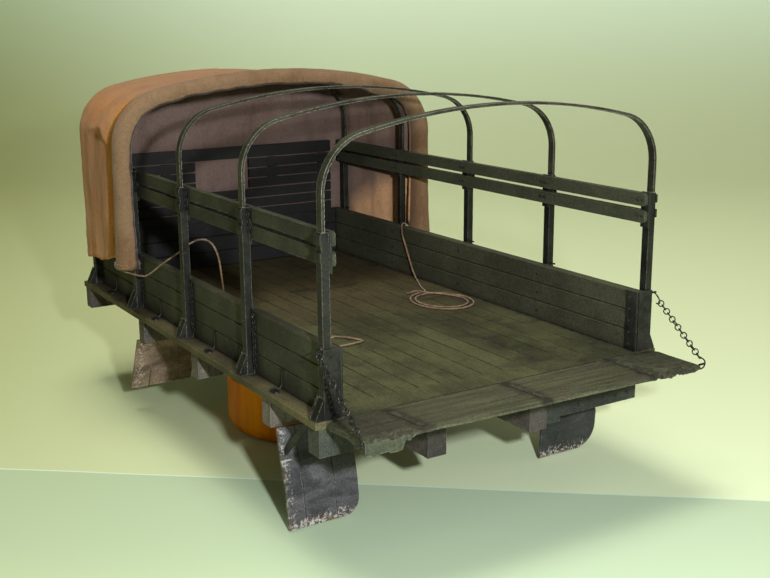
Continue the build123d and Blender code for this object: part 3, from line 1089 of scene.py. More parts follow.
@dataclass
class CanvasCover(Cloth):
    """The cover over the front two bows: one sheet with sags, a groove before the roll and a pressed fold.

    Its legs' distance out, its crest and its feet are tables over the distance forward.
    """

    rear: float = 106.2
    front: float = 148.2
    shoulder: float = 13.4
    legs: tuple = ((104.9, 46.5), (107.0, 46.9), (109.5, 48.3), (116.0, 48.8), (130.0, 47.4), (144.0, 45.75),
                   (148.2, 45.15))
    crests: tuple = ((106.5, 61.9), (110.0, 62.9), (118.0, 62.7), (127.0, 62.3), (142.0, 62.95),
                     (148.2, 63.0))
    lows: tuple = ((106.5, 14.0), (112.0, 13.3), (130.0, 10.4), (148.2, 7.9))
    fold: tuple = ((110.5, 42.0), (114.0, 46.2), (119.0, 48.9), (134.0, 47.4))

    def relief(self, y: float, z: float, side: float, left: bool) -> float:
        """How far the cloth stands out of its plain outline.

        Args:
            y: Distance forward.
            z: Height.
            side: 1 on the legs, 0 on the crown.
            left: Whether the point is on the left half.

        Returns:
            Millimetres, outwards.
        """
        hand = 0.0 if left else 7.0
        groove = 109.6 + max(0.0, 47.8 - z) * 0.13
        out = -(0.35 + 1.75 * side) * hump(y, groove, 1.7)
        out += 0.55 * ripple(y * 0.06 + hand, z * 0.05, side) + 0.22 * ripple(y * 0.21, z * 0.09 + hand)
        out += 0.10 * ripple(y * 0.7 + hand, z * 0.5)
        if not left:
            out -= 1.1 * side * between(y, (105.5, 1.0), (110.0, 0.0))
        low = max(0.0, min(1.0, (30.0 - z) / 20.0))
        out += 0.45 * low * side * ripple(y * 0.25 + hand, 4.0)
        start, end = self.fold[0][0], self.fold[-1][0]
        if left and start < y < end:
            under = between(y, *self.fold) - z
            share = math.sin(math.pi * (y - start) / (end - start)) ** 0.6
            pressed = max(0.0, min(1.0, under / 0.9)) * math.exp(-max(0.0, under) / 11.0)
            out += share * (0.45 * hump(under, -0.5, 0.9) - 0.95 * pressed)
        return out

    def place(self, u: float, v: float) -> Vector:
        """Where a point of the sheet hangs.

        Args:
            u: Share from the left foot to the right one.
            v: Share from the rear edge to the front one.

        Returns:
            The point.
        """
        y = self.rear + (self.front - self.rear) * v
        arch = Arch(between(y, *self.legs), between(y, *self.crests), self.shoulder, between(y, *self.lows))
        run = arch.total * u
        y -= 1.3 * abs(arch.at(run)[2]) ** 2 * (1 - v) ** 6
        foot = max(0.0, 1.0 - min(run, arch.total - run) / 6.0)
        inwards, hand = (1, 2.0) if u < 0.5 else (-1, 9.0)
        run += inwards * foot * 0.35 * ripple(y * 0.35, hand)
        x, z, out_x, out_z = arch.at(run)
        out = self.relief(y, z, abs(out_x), x < 0)
        out += 0.16 if min(run, arch.total - run) < 2.2 else 0.0
        out -= 1.1 * max(0.0, (v - 0.985) / 0.015)
        y += 0.25 * ripple(run * 0.11, 1.0) * v
        return Vector((x + out * out_x, y, z + out * out_z))

    def stain_and_shade(self, u: float, v: float) -> float:
        """How soiled the sheet is along its edges and in patches on the crown, with painted shade in the
        groove.

        Args:
            u: Share from the left foot to the right one.
            v: Share from the rear edge to the front one.

        Returns:
            From 0 to 1.
        """
        y = self.rear + (self.front - self.rear) * v
        off = abs(2 * u - 1)
        edge = math.exp(-min(u, 1 - u) * 182.0 / 2.2)
        # painted shade: darker in the groove before the roll, more on the sides
        groove = hump(y, 108.6, 2.4) * (0.35 + 0.35 * off)
        wear = 0.30 * max(0.0, ripple(u * 30.0, v * 9.0)) * max(0.0, 1.0 - off * 2.2)
        return min(1.0, 0.42 * edge + 0.8 * groove + wear)

    def build(self) -> bpy.types.Object:
        """Returns:
            The cover's object.
        """
        made = self.sheet("canvas_cover_sheet", "canvas_cover", (230, 56), (182.0, 42.0), 0.38)
        return made


@dataclass
class CanvasRoll(Cloth):
    """The rear half of the cover, rolled up over the fourth bow, its frayed edge on the inside."""

    y: float = 103.2
    radius: float = 3.05
    turns: float = 2.15
    pitch: float = 0.95
    arch: Arch = Arch(48.1, 62.15, 13.9, 12.5)
    free_edge: float = -128.0
    hidden_turn: float = -104.0

    def place(self, u: float, v: float) -> Vector:
        """Where a point of the rolled sheet is.

        Args:
            u: Share from the left foot to the right one.
            v: Share from the outer edge to the innermost turn.

        Returns:
            The point.
        """
        total = self.arch.total
        run = total * u
        foot = math.exp(-min(run, total - run) / 7.0)
        x, z, out_x, out_z = self.arch.at(run)
        hidden = between(u, (0.62, 0.0), (0.74, 1.0))
        first = math.radians(self.free_edge + self.hidden_turn * hidden)
        first += 0.20 * ripple(run * 0.16, 5.0) + 0.09 * ripple(run * 0.7, 8.0)
        turn = first * (1 - v) + math.radians(self.free_edge) * v + 2 * math.pi * self.turns * v
        folds = 0.16 * ripple(run * 0.07, 1.0) + 0.16 * ripple(run * 0.16 + 0.6 * turn, 3.0)
        folds += 0.07 * ripple(run * 0.5, turn * 1.5)
        size = self.radius + 0.5 * foot - self.pitch * self.turns * v
        size += folds * (1 - 0.5 * v) + 0.45 * max(0.0, 1.0 - v * 16.0)
        wander = 0.35 * ripple(run * 0.04, 12.0)
        out = size * math.cos(turn) * (0.88 + 0.12 * foot) + wander
        ends = 0.5 * foot * ripple(turn * 0.8, 2.0 if u < 0.5 else 6.0)
        return Vector((x + out * out_x, self.y + size * math.sin(turn) + wander, z + out * out_z + ends))

    def stain_and_shade(self, u: float, v: float) -> float:
        """Dark along the frayed edge, at the feet of the roll and along a seam on its left half.

        Args:
            u: Share from the left foot to the right one.
            v: Share from the outer edge to the innermost turn.

        Returns:
            From 0 to 1.
        """
        frayed = 1.2 * math.exp(-v * 60.0) * (u < 0.68)
        feet = 0.6 * math.exp(-min(u, 1 - u) * 190.0 / 1.2)
        return min(1.0, frayed + feet + 0.55 * math.exp(-abs(v - 0.30) * 60.0) * (u < 0.5))

    def build(self) -> bpy.types.Object:
        """Returns:
            The roll's object.
        """
        made = self.sheet("canvas_roll_turns", "canvas_roll", (240, 58), (187.0, 27.0), 0.36, 70.0)
        return made


@dataclass
class FrontCurtain(Cloth):
    """The cloth end of the cover, behind the front wall."""

    y: float = 147.0
    low: float = 9.5
    arch: Arch = Arch(44.75, 62.35, 13.0, 9.5)

    def place(self, u: float, v: float) -> Vector:
        """Where a point of the sheet hangs.

        Args:
            u: Share from left to right along its arched top.
            v: Share from its lower edge to its top.

        Returns:
            The point.
        """
        leg, bend, crown = self.arch.lengths
        x, z, _, _ = self.arch.at(leg + (2 * bend + crown) * u)
        height = self.low + (z - self.low) * v + 0.3 * (1 - v) * ripple(x * 0.3, 3.0)
        fold = 0.32 * ripple(x * 0.09, height * 0.06) + 0.14 * ripple(x * 0.3 + 0.2 * height, height * 0.11)
        fold += 0.3 * (1 - v) * math.sin(x * 0.45)
        fold += 0.5 * max(0.0, (x - 15.0) / 30.0) * ripple((x + height) * 0.22, (x - height) * 0.07)
        loose = math.sin(math.pi * v) ** 0.5 if v < 1 else 0.0
        return Vector((x, self.y - fold * loose, height))

    def stain_and_shade(self, u: float, v: float) -> float:
        """Soiled at its lower right and along the lower edge."""
        return min(1.0, 0.5 * math.exp(-v * 14.0) + 0.34 * max(0.0, u - 0.72) * (1 - v) * 3.0)

    def build(self) -> bpy.types.Object:
        """Returns:
            The curtain's object.
        """
        made = self.sheet("front_curtain_sheet", "front_curtain", (96, 60), (90.0, 53.0), 0.3)
        return made


# ---------------------------------------------------------------- tailgate
@dataclass
class Gate:
    """The tailgate: a thin streaked board, split open at both ends, its straps and its middle knuckles.

    It is drawn level, in millimetres on the floor's axes, and then tilted to rest.
    """

    paint: Material
    core: Material
    metal: Material
    strap: Material
    stud: Material
    half: float = 45.3
    tip: float = -16.75
    root: float = -0.45
    thin: float = 1.05
    thick: float = 2.5
    hinges: tuple = (-31.0, 0.0, 31.0)
    strap_from: float = -3.2
    strap_length: float = 11.3
    strap_width: float = 1.3
    strap_thick: float = 0.13
    first_bolt: float = -4.2
    bolt_pitch: float = 2.3
    barrel: float = 0.83
    bore: float = 0.45
    knuckle: float = 2.0
    notch_half: float = 3.3
    notch_rear: float = -2.8
    notch_roof: float = -0.12
    strap_bolts: int = 5

    def whole(self, x: float) -> float:
        """1 where the left end is still whole and thick, 0 where only the upper layer is left."""
        return 1.0 - between(x + 1.6 * ripple(x * 0.9, 3.0), (-37.4, 0.0), (-34.2, 1.0))

    def rear(self, x: float) -> float:
        """The rear edge at x, ragged towards both ends."""
        if x > 0:
            ragged = between(x, (24.0, 0.12), (34.0, 0.85), (45.3, 0.5))
        else:
            ragged = between(x, (-45.3, 0.25), (-28.0, 0.4), (-20.0, 0.12))
        return self.tip + ragged * (0.6 + 0.6 * ripple(x * 0.8, 1.0) + 0.4 * ripple(x * 2.3, 6.0))

    def front(self, x: float) -> float:
        """The root edge at x, cut back beside the posts and rounded at both ends."""
        beyond = abs(x) - 40.4
        return self.root if beyond < 0 else -0.95 - 1.9 * (max(0.0, beyond - 2.4) / 2.5) ** 2

    def lift(self, x: float, y: float) -> float:
        """Height of the top: a slight twist, a rolled rear edge, a groove and splinters at both ends.

        Args:
            x: Distance to the right.
            y: Distance forward.

        Returns:
            The height.
        """
        free = between(-y, (2.8, 0.0), (6.0, 1.0))
        back = y - self.rear(x)
        out = (self.hinges[0] - x) * 0.0008 * (-y - 1.8) * free - 0.5 * max(0.0, 1.0 - back / 0.9) ** 2
        right = between(x, (26.0, 0.0), (34.0, 1.0), (43.0, 1.0), (45.0, 0.0))
        right *= between(back, (3.4, 1.0), (6.5, 0.0))
        layer = ripple((x - y) * 0.20, y * 0.45) + 0.45 * ripple(x * 0.8, y * 1.1)
        out -= right * 0.40 * between(layer, (-0.05, 1.0), (0.05, 0.0))
        groove = 31.5 + 0.35 * (-y - 3.0) - 0.8 * ripple(y * 0.6, 5.0)
        out -= 0.35 * hump(x, groove, 0.5) * between(-y, (1.5, 0.0), (3.0, 1.0))
        left = self.whole(x - 3.0) * between(back, (2.2, 1.0), (3.4, 0.0))
        layer = ripple(x * 0.5, 8.0) + 0.7 * ripple(x * 1.6, y)
        out -= left * 0.38 * between(layer, (-0.1, 1.0), (0.05, 0.0))
        return out + 0.05 * free * ripple(x * 0.12, y * 0.2)

    def board(self, bm: BMesh) -> None:
        """Makes the board a closed shell, notched over the hinges, with torn core at its ends.

        Args:
            bm: An empty mesh.
        """
        bmesh.ops.create_grid(bm, x_segments=226, y_segments=40, size=0.5)
        for vert in bm.verts:
            x, share = 2 * self.half * vert.co.x, 0.5 - vert.co.y
            rear, front = self.rear(x), self.front(x)
            y = front + (rear - front) * share
            vert.co = (x, y, self.lift(x, y))
        for vert in extruded(bm):
            x, y = vert.co.x, vert.co.y
            edge = between(y - self.rear(x), (0.0, 0.35), (1.6, 1.0)) * self.thin
            edge += (self.thick - edge) * self.whole(x) * between(-y, (9.5, 0.0), (15.5, 1.0))
            notched = y > self.notch_rear and any(abs(x - h) < self.notch_half for h in self.hinges)
            vert.co.z = self.notch_roof if notched else vert.co.z - edge
        bmesh.ops.recalc_face_normals(bm, faces=bm.faces[:])
        for face in bm.faces:
            x, y, _ = face.calc_center_median()
            upright = abs(face.normal.z) < 0.6
            rim = upright and min(abs(v.co.z - self.lift(v.co.x, v.co.y)) for v in face.verts) < 0.01
            if rim and (x > self.half - 0.1 or (y < self.rear(x) + 0.3 and self.whole(x) > 0.3)):
                face.material_index = 1

    def knuckles(self, bm: BMesh) -> None:
        """Adds the three middle barrels of the hinges, with their webs under the board.

        Args:
            bm: Mesh that they are added to.
        """
        for x in self.hinges:
            turn = turned((x, HINGE_Y, HINGE_Z), math.pi / 2, "Y")
            middle = turn @ Vector((0, 0, -self.knuckle / 2))
            bmesh.ops.create_circle(bm, segments=20, radius=self.bore,
                                    matrix=turn @ Matrix.Translation((0, 0, -self.knuckle / 2)))
            outer = bmesh.ops.extrude_edge_only(bm, edges=[e for e in bm.edges if e.is_wire])["geom"]
            rim = [v for v in outer if isinstance(v, bmesh.types.BMVert)]
            wider = self.barrel / self.bore
            bmesh.ops.scale(bm, vec=(1.0, wider, wider), space=Matrix.Translation(-middle), verts=rim)
            disc = [f for f in outer if isinstance(f, bmesh.types.BMFace)]
            grown = bmesh.ops.extrude_face_region(bm, geom=disc, use_keep_orig=True)["geom"]
            far = [v for v in grown if isinstance(v, bmesh.types.BMVert)]
            bmesh.ops.translate(bm, vec=(self.knuckle, 0, 0), verts=far)
            made = {f for v in rim + far for f in v.link_faces}
            bmesh.ops.recalc_face_normals(bm, faces=list(made))
            web = block(bm, (self.knuckle, 1.9, 0.5), (x, -3.45, -1.35))
            for face in made | {f for v in web for f in v.link_faces}:
                face.material_index = 2

    def straps(self, bm: BMesh) -> None:
        """Makes thin hinge straps that follow the board's top.

        Args:
            bm: An empty mesh.
        """
        for hinge in self.hinges:
            for vert in bmesh.ops.create_grid(bm, x_segments=3, y_segments=24, size=0.5)["verts"]:
                y = self.strap_from - self.strap_length * (0.5 - vert.co.y)
                x = hinge + self.strap_width * vert.co.x * (1.0 + 0.12 * ripple(y * 1.5, hinge))
                vert.co = (x, y, self.lift(x, y) + 0.02)
        bmesh.ops.translate(bm, vec=(0, 0, self.strap_thick), verts=extruded(bm))
        bmesh.ops.recalc_face_normals(bm, faces=bm.faces[:])

    def bolts(self, bm: BMesh) -> None:
        """Adds the five small bolts of each strap."""
        head = bolt(0.27, 0.2)
        for x in self.hinges:
            for n in range(self.strap_bolts):
                y = self.first_bolt - self.bolt_pitch * n
                head.press(bm, Matrix.Translation((x, y, self.lift(x, y) + self.strap_thick)))

    def build(self) -> None:
        """Makes the board with its knuckles, the straps and their bolts, tilted to rest."""
        for name, slot, draws, materials, stands_for, crease in (
                ("gate_panel", "painted_board", (self.board, self.knuckles),
                 [self.paint, self.core, self.metal], ["tailgate_board"], 32.0),
                ("strap_plates", "painted_fitting", (self.straps,), [self.strap], ["tailgate_straps"], 40.0),
                ("strap_bolts", "painted_fitting", (self.bolts,), [self.stud], (), 40.0)):
            bm = bmesh.new()
            for draw in draws:
                draw(bm)
            bm.transform(GATE_TILT)
            settle(bm, name, "tailgate", materials, stands_for, crease)


# ---------------------------------------------------------------- metalwork
@dataclass(frozen=True)
class ChainRun:
    """Where one chain hangs, its top and foot as if on the right, and its rings."""

    word: str
    side: float
    top: tuple
    foot: tuple
    links: int
    outer: float
    wire: float


@dataclass
class GateChains:
    """Four half chains between the rear posts and the tailgate, with the hooks at both ends."""

    steel: Material
    twist: float = 0.95
    runs: tuple = (ChainRun("left", LEFT, (46.35, -0.9, 14.3), (45.7, -15.3, 1.75), 18, 1.62, 0.34),
                   ChainRun("right", RIGHT, (46.5, -1.5, 12.0), (46.3, -15.0, 1.45), 14, 1.66, 0.30))
    post_hooks: tuple = (
        (0.17, ((44.9, 0.9, 13.9), (45.8, 0.7, 14.2), (46.5, 0.1, 13.8), (46.6, -0.9, 12.9),
                (46.5, -1.7, 11.9), (46.3, -1.3, 11.2), (46.2, -0.7, 11.5))),
        (0.18, ((-44.9, 0.6, 14.9), (-45.7, 0.4, 15.2), (-46.5, -0.3, 14.9), (-46.5, -0.9, 14.2),
                (-46.3, -0.5, 13.6), (-46.1, 0.1, 13.9))))
    left_knob: tuple = (-44.8, 0.6, 14.9)
    gate_hooks: tuple = (
        (0.17, ((46.2, -14.5, 1.9), (46.4, -15.4, 1.55), (46.4, -16.5, 1.25), (46.2, -16.72, 0.3),
                (45.8, -16.6, -0.5), (45.2, -16.3, -0.7))),
        (0.17, ((-45.7, -14.9, 2.1), (-45.6, -15.7, 1.5), (-45.8, -16.4, 1.1), (-46.0, -16.5, 0.3),
                (-45.7, -16.2, -0.4))))

    def half(self, run: ChainRun, name: str, numbers: range) -> None:
        """Makes half of one chain.

        Args:
            run: The chain's ends and rings.
            name: The CAD node that it stands for, and its body.
            numbers: Which of the chain's rings it has, counted from the top.
        """
        top, foot = (Vector((run.side * x, y, z)) for x, y, z in (run.top, run.foot))
        step = (foot - top) / run.links
        link = ring(run.outer, run.wire, (step.length + 2 * run.wire) / run.outer, 14)
        bm = bmesh.new()
        for n in numbers:
            quarter = (n % 2) * math.pi / 2
            jitter = 0.22 * math.sin(5.1 * n + run.side)
            link.press(bm, facing(top + step * (n + 0.5), step.normalized(), self.twist + jitter + quarter))
        settle(bm, name + "_links", name, [self.steel], [name])

    def build(self) -> None:
        """Makes the four halves, the hooks on the posts and those over the tailgate's corners."""
        for run in self.runs:
            middle = run.links // 2
            self.half(run, f"chain_upper_{run.word}", range(middle))
            self.half(run, f"chain_lower_{run.word}", range(middle, run.links))
        knob = bolt(0.55, 0.5, 10)
        for name, body, wires, knobs in (("post_hooks", "bed", self.post_hooks, (self.left_knob,)),
                                         ("gate_hooks", "tailgate", self.gate_hooks, ())):
            bm = bmesh.new()
            for radius, points in wires:
                bent_wire(bm, points, radius)
            for place in knobs:
                knob.press(bm, facing(place, (LEFT, 0, 0)))
            settle(bm, name, body, [self.steel])


@dataclass
class Hardware:
    """Small fittings of the sides: bolts, pins on chains, hooks, ring plates and sockets.

    The sides are mirror images, so a place is given for the right one. A pin's numbers are the height it
    hangs from, the height where its chain ends and how far ahead of its post it is.
    """

    metal: Material
    steel: Material
    sill: Material
    board_face: float = 40.6
    rack_face: float = 41.5
    post_face: float = 44.8
    board_rows: tuple = (2.5, 7.4, 12.4)
    rack_rows: tuple = (32.9, 36.7)
    pin_x: float = 43.5
    lower_pin: tuple = (15.2, 1.1, -2.3)
    upper_pin: tuple = (38.0, 32.4, -1.6)
    tie_down_ahead: float = 20.7
    ledge_x: float = 45.0
    socket_rows: tuple = (33.4, 36.9)
    bar_eye_x: tuple = (27.4, 35.2, 39.5, 43.2)
    bar_y: float = 4.58
    bar_z: float = -12.1
    spacer: tuple = (0.5, 2.6, 8.4)
    spacer_x: float = 42.7
    spacer_z: float = 34.3
    flange: tuple = (0.3, 3.7, 14.7)
    flange_at: tuple = (40.48, 1.75, 7.45)
    flange_bolts: int = 5
    flange_foot: float = 1.6
    flange_pitch: float = 2.9
    inner_bolt: tuple = (40.34, 2.3)
    outer_bolt: tuple = (43.0, -0.45)
    plate: tuple = (6.4, 0.26, 5.6)
    plate_at: tuple = (39.7, -0.14, -3.1)

    def bolts(self, bm: BMesh) -> None:
        """Bolt heads on both faces of the boards and racks at every post.

        Args:
            bm: Mesh that they are added to.
        """
        head, small = bolt(0.40, 0.32), bolt(0.3, 0.24)
        for side in SIDES:
            for y in POST_Y:
                rearmost = y < 1
                here = y + 0.6 if rearmost else min(y, 143.2)
                for z in () if rearmost else self.board_rows:
                    head.press(bm, facing((side * self.board_face, here, z), (-side, 0, 0)))
                for z in self.rack_rows:
                    for shift in (-0.75, 0.75):
                        head.press(bm, facing((side * self.rack_face, here + shift, z), (-side, 0, 0)))
                for z in (6.0, 12.5, *self.rack_rows):
                    small.press(bm, facing((side * self.post_face, y, z), (side, 0, 0)))

    def pins(self, bm: BMesh) -> None:
        """Locking pins on short chains, hanging beside the posts; the front posts have only the lower ones.

        Args:
            bm: Mesh that they are added to.
        """
        outer, wire, stretch = 0.95, 0.22, 1.25
        link = ring(outer, wire, stretch, 10, 5)
        step = outer * stretch - 2 * wire
        for side in SIDES:
            for n, y in enumerate(POST_Y[1:]):
                for top, foot, shift in (self.lower_pin,) if n == 3 else (self.lower_pin, self.upper_pin):
                    for k in range(int((top - foot) / step)):
                        x, sway = self.pin_x + 0.1 * math.sin(k), 0.12 * math.sin(1.3 * k + n)
                        place = (side * x, y + shift + sway, top - step * (k + 0.5))
                        link.press(bm, turned(place, (k % 2) * math.pi / 2 + 0.5, "Z"))
                    across = turned((side * self.pin_x, y + shift, top), math.pi / 2, "X")
                    bmesh.ops.create_cone(bm, cap_ends=True, segments=8, radius1=wire, radius2=wire,
                                          depth=1.9, matrix=across)

    def tie_downs(self, bm: BMesh) -> None:
        """Hooks for lashings at the foot of the boards, each over its plate and ring on the ledge.

        Args:
            bm: Mesh that they are added to.
        """
        plate, eye, wire = Stamp(self.draw_plate), ring(1.6, 0.24, 0.8), 0.15
        for side in SIDES:
            for post in POST_Y[:-1]:
                y = post + self.tie_down_ahead
                plate.press(bm, Matrix.Translation((side * self.ledge_x, y, 0.0)))
                eye.press(bm, turned((side * (self.ledge_x + 0.3), y, 0.42), math.radians(78), "Y"))
                shank = ((43.0, 4.9), (43.2, 3.2), (43.25, 1.3), (43.7, 0.5), (44.4, 0.5))
                bent_wire(bm, [(side * x, y, z) for x, z in shank], wire)
                bar = ((43.15, -0.7, 4.7), (43.2, 0.0, 4.95), (43.15, 0.7, 4.7))
                bent_wire(bm, [(side * x, y + shift, z) for x, shift, z in bar], wire)

    @staticmethod
    def draw_plate(bm: BMesh) -> None:
        """A thin oval plate with a rounded rim, lying on z = 0."""
        bmesh.ops.create_cone(bm, cap_ends=True, segments=20, radius1=1.5, radius2=1.4, depth=0.36,
                              matrix=Matrix.Translation((0, 0, 0.12)))
        bmesh.ops.scale(bm, vec=(0.62, 1.0, 1.0), verts=bm.verts)
        round_off(bm, edges_where(bm, lambda at: at.z > 0.2), 0.08)

    @staticmethod
    def draw_cap(bm: BMesh) -> None:
        """A small folded socket with rounded edges, round the origin."""
        block(bm, (0.5, 2.6, 2.0))
        round_off(bm, bm.edges[:], 0.12)

    def caps(self, bm: BMesh) -> None:
        """Sockets that hold the racks to the posts, on the outer faces.

        Args:
            bm: Mesh that they are added to.
        """
        cap = Stamp(self.draw_cap)
        for side in SIDES:
            for y in POST_Y[:-1]:
                for z in self.socket_rows:
                    cap.press(bm, Matrix.Translation((side * (self.post_face + 0.15), y, z)))

    def bar_eyes(self, bm: BMesh) -> None:
        """Sunk bolts with pressed rims along the bar behind the rear sill.

        Args:
            bm: Mesh that they are added to.
        """
        rim = ring(1.0, 0.26, 1.0, 14)
        for x in self.bar_eye_x:
            rim.press(bm, Matrix.Translation((x, self.bar_y, self.bar_z)))

    def spacers(self, bm: BMesh) -> None:
        """Dark strips between the posts and the inner face of the racks, seen through the slit.

        Args:
            bm: An empty mesh.
        """
        for side in SIDES:
            for y in POST_Y[:-1]:
                block(bm, self.spacer, (side * self.spacer_x, y, self.spacer_z))
        round_off(bm, bm.edges[:], 0.1)

    def flanges(self, bm: BMesh) -> None:
        """Angle irons on the inner face of the lower boards at the rear, with their bolts.

        Args:
            bm: An empty mesh.
        """
        head = bolt(0.26, 0.2)
        for side in SIDES:
            block(bm, self.flange, (side * self.flange_at[0], *self.flange_at[1:]))
        round_off(bm, bm.edges[:], 0.1)
        for side in SIDES:
            for n in range(self.flange_bolts):
                z = self.flange_foot + self.flange_pitch * n
                for (x, y), outward in ((self.inner_bolt, (-side, 0, 0)), (self.outer_bolt, (0, -1, 0))):
                    head.press(bm, facing((side * x, y, z), outward))

    def sill_plates(self, bm: BMesh) -> None:
        """Thin plates with a rounded lower corner on the rear sill's face, one near each end.

        Args:
            bm: An empty mesh.
        """
        x, y, z = self.plate_at
        outside, under = x + self.plate[0] / 2 - 0.1, z - self.plate[2] / 2 + 0.1
        for side in SIDES:
            block(bm, self.plate, (side * x, y, z))
            round_off(bm, edges_where(bm, lambda at: at.z < under and side * at.x > outside), 0.9, 4)

    def build(self) -> None:
        """Makes all the small fittings, each kind as one piece."""
        for name, slot, draw, finish in (
                ("board_bolts", "painted_fitting", self.bolts, self.metal),
                ("pin_chains", "chain_steel", self.pins, self.steel),
                ("tie_downs", "chain_steel", self.tie_downs, self.steel),
                ("rack_sockets", "painted_fitting", self.caps, self.metal),
                ("bar_eyes", "painted_fitting", self.bar_eyes, self.metal),
                ("rack_spacers", "painted_fitting", self.spacers, self.metal),
                ("rear_flanges", "painted_fitting", self.flanges, self.metal),
                ("sill_plates", "underframe_wood", self.sill_plates, self.sill)):
            bm = bmesh.new()
            draw(bm)
            settle(bm, name, "bed", [finish])


# ---------------------------------------------------------------- the finishes and the parts that wear them
FINISHES = {
    "floor": FloorPlanks("floor_wood", Grain.LENGTHWAYS, (0.034, 0.036, 0.013), (0.090, 0.093, 0.037),
                         (0.22, 0.22, 0.11), (0.10, 0.105, 0.045), wear=0.35, dust=0.4),
    "boards": PaintedWood("painted_board", Grain.LENGTHWAYS, (0.017, 0.018, 0.010), (0.046, 0.048, 0.026),
                          (0.23, 0.20, 0.105), (0.085, 0.085, 0.048), wear=0.8, hollow_shade_and_dirt=0.95, far_side_light_and_dust=0.34),
    "racks": PaintedWood("rack_board", Grain.LENGTHWAYS, (0.018, 0.020, 0.012), (0.046, 0.050, 0.029),
                         (0.22, 0.20, 0.12), (0.08, 0.085, 0.05), wear=0.7, hollow_shade_and_dirt=0.9, far_side_light_and_dust=0.32),
    # painted shade: the front wall is painted far darker than the other boards, for the shade under the cover
    "wall": PaintedWood("front_board", Grain.ACROSS, (0.0034, 0.0040, 0.0036), (0.0095, 0.0100, 0.0082),
                        (0.10, 0.095, 0.07), (0.045, 0.042, 0.034), wear=0.4, dust=0.2),
    "gate": GateBoardPaint("gate_board", Grain.ACROSS, (0.046, 0.048, 0.024), (0.094, 0.097, 0.050),
                           (0.26, 0.26, 0.16), (0.11, 0.105, 0.058), wear=0.5, dust=0.3),
    "gate_core": PaintedWood("gate_core", Grain.ACROSS, (0.030, 0.035, 0.021), (0.062, 0.070, 0.043),
                             (0.24, 0.25, 0.17), (0.11, 0.115, 0.07), wear=0.6, dust=0.2,
                             grime_and_shade=(0.02, 0.02, 0.012)),
    "ledge": PaintedWood("ledge_board", Grain.LENGTHWAYS, (0.042, 0.036, 0.015), (0.104, 0.088, 0.038),
                         (0.22, 0.19, 0.10), (0.11, 0.095, 0.05), wear=0.6),
    "sills": PaintedWood("sill_wood", Grain.UPRIGHT, (0.023, 0.026, 0.0225), (0.050, 0.054, 0.043),
                         (0.17, 0.18, 0.13), (0.066, 0.070, 0.045), wear=0.5),
    "beams": PaintedWood("beam_wood", Grain.UPRIGHT, (0.060, 0.050, 0.042), (0.150, 0.125, 0.104),
                         (0.42, 0.37, 0.31), (0.26, 0.22, 0.185), wear=0.5, dust=0.5,
                         grime_and_shade=(0.018, 0.014, 0.012)),
    "rails": PaintedWood("rail_wood", Grain.LENGTHWAYS, (0.030, 0.026, 0.023), (0.095, 0.080, 0.067),
                         (0.30, 0.26, 0.22), (0.14, 0.118, 0.10), wear=0.5, dust=0.5,
                         grime_and_shade=(0.014, 0.011, 0.010)),
    "posts": PaintedMetal("painted_post", (0.0070, 0.0072, 0.0060), (0.0195, 0.0202, 0.0158),
                          (0.30, 0.30, 0.23), wear=0.7),
    "bows": PaintedMetal("bow_paint", (0.018, 0.018, 0.011), (0.048, 0.047, 0.030), (0.52, 0.50, 0.42),
                         wear=0.85, reach=0.22),
    "fittings": PaintedMetal("painted_fitting", (0.0095, 0.0098, 0.0084), (0.0245, 0.0250, 0.0200),
                             (0.24, 0.24, 0.18), wear=0.35),
    "straps": PaintedMetal("strap_paint", (0.030, 0.028, 0.017), (0.060, 0.058, 0.034), (0.16, 0.16, 0.10),
                           wear=0.35, gloss=0.6),
    "studs": PaintedMetal("stud_paint", (0.03, 0.03, 0.024), (0.08, 0.08, 0.065), (0.36, 0.36, 0.30),
                          wear=0.6),
    "steel": ChainSteel(),
    "flap": ScoredCard("flap_board", (0.028, 0.028, 0.031), (0.078, 0.074, 0.077), (0.46, 0.42, 0.36),
                       0.9, 5.2),
    "flap_bare": ScoredCard("flap_board_bare", (0.11, 0.076, 0.050), (0.27, 0.19, 0.135), (0.52, 0.44, 0.35),
                            6.4, 8.0, crease=-50.0, rust=(0.30, 0.10, 0.035)),
    "canvas": Canvas("canvas", crown=(0.27, 0.145, 0.066)),
    "canvas_roll": Canvas("canvas_rolled", (0.185, 0.104, 0.052), (0.240, 0.148, 0.084),
                          (0.115, 0.056, 0.023)),
    "lining": Canvas("canvas_inside", (0.150, 0.098, 0.080), (0.190, 0.132, 0.108), (0.095, 0.058, 0.044)),
    "cover_inside": Canvas("cover_inside", (0.210, 0.130, 0.094), (0.280, 0.182, 0.135), (0.13, 0.070, 0.044),
                           painted_backlight=(0.78, 0.43, 0.21)),
    "rope": Twine(),
    "amber": AmberPlastic(),
}
WORN_BY = {
    "floor": ("floor_deck",), "boards": ("side_boards_",), "racks": ("rack_boards_",),
    "wall": ("front_boards", "front_slats", "front_rail"), "gate": ("tailgate_board",), "ledge": ("ledge_",),
    "sills": ("rear_sill", "rear_bar"), "beams": ("cross_sill", "front_sill"), "rails": ("main_sill",),
    "straps": ("tailgate_straps",), "posts": ("posts_", "post_feet_"), "bows": ("bow_",),
    "fittings": ("rear_plate_", "hinge_", "flap_brace_"), "steel": ("post_eyes", "gate_eyes"),
    "flap": ("flap_rear_",), "flap_bare": ("flap_front_",), "amber": ("plinth",),
}


def dress(nodes: dict[str, bpy.types.Object]) -> dict[str, Material]:
    """Makes every finish and puts them on the frame's parts, by the start of the parts' names.

    Args:
        nodes: The frame's parts by name.

    Returns:
        Finish name to material.
    """
    made = {name: finish.make() for name, finish in FINISHES.items()}
    for finish, starts in WORN_BY.items():
        for name, part in nodes.items():
            if name.startswith(starts):
                part.data.materials.clear()
                part.data.materials.append(made[finish])
                log.info("%s finished as %s", name, finish)
    return made


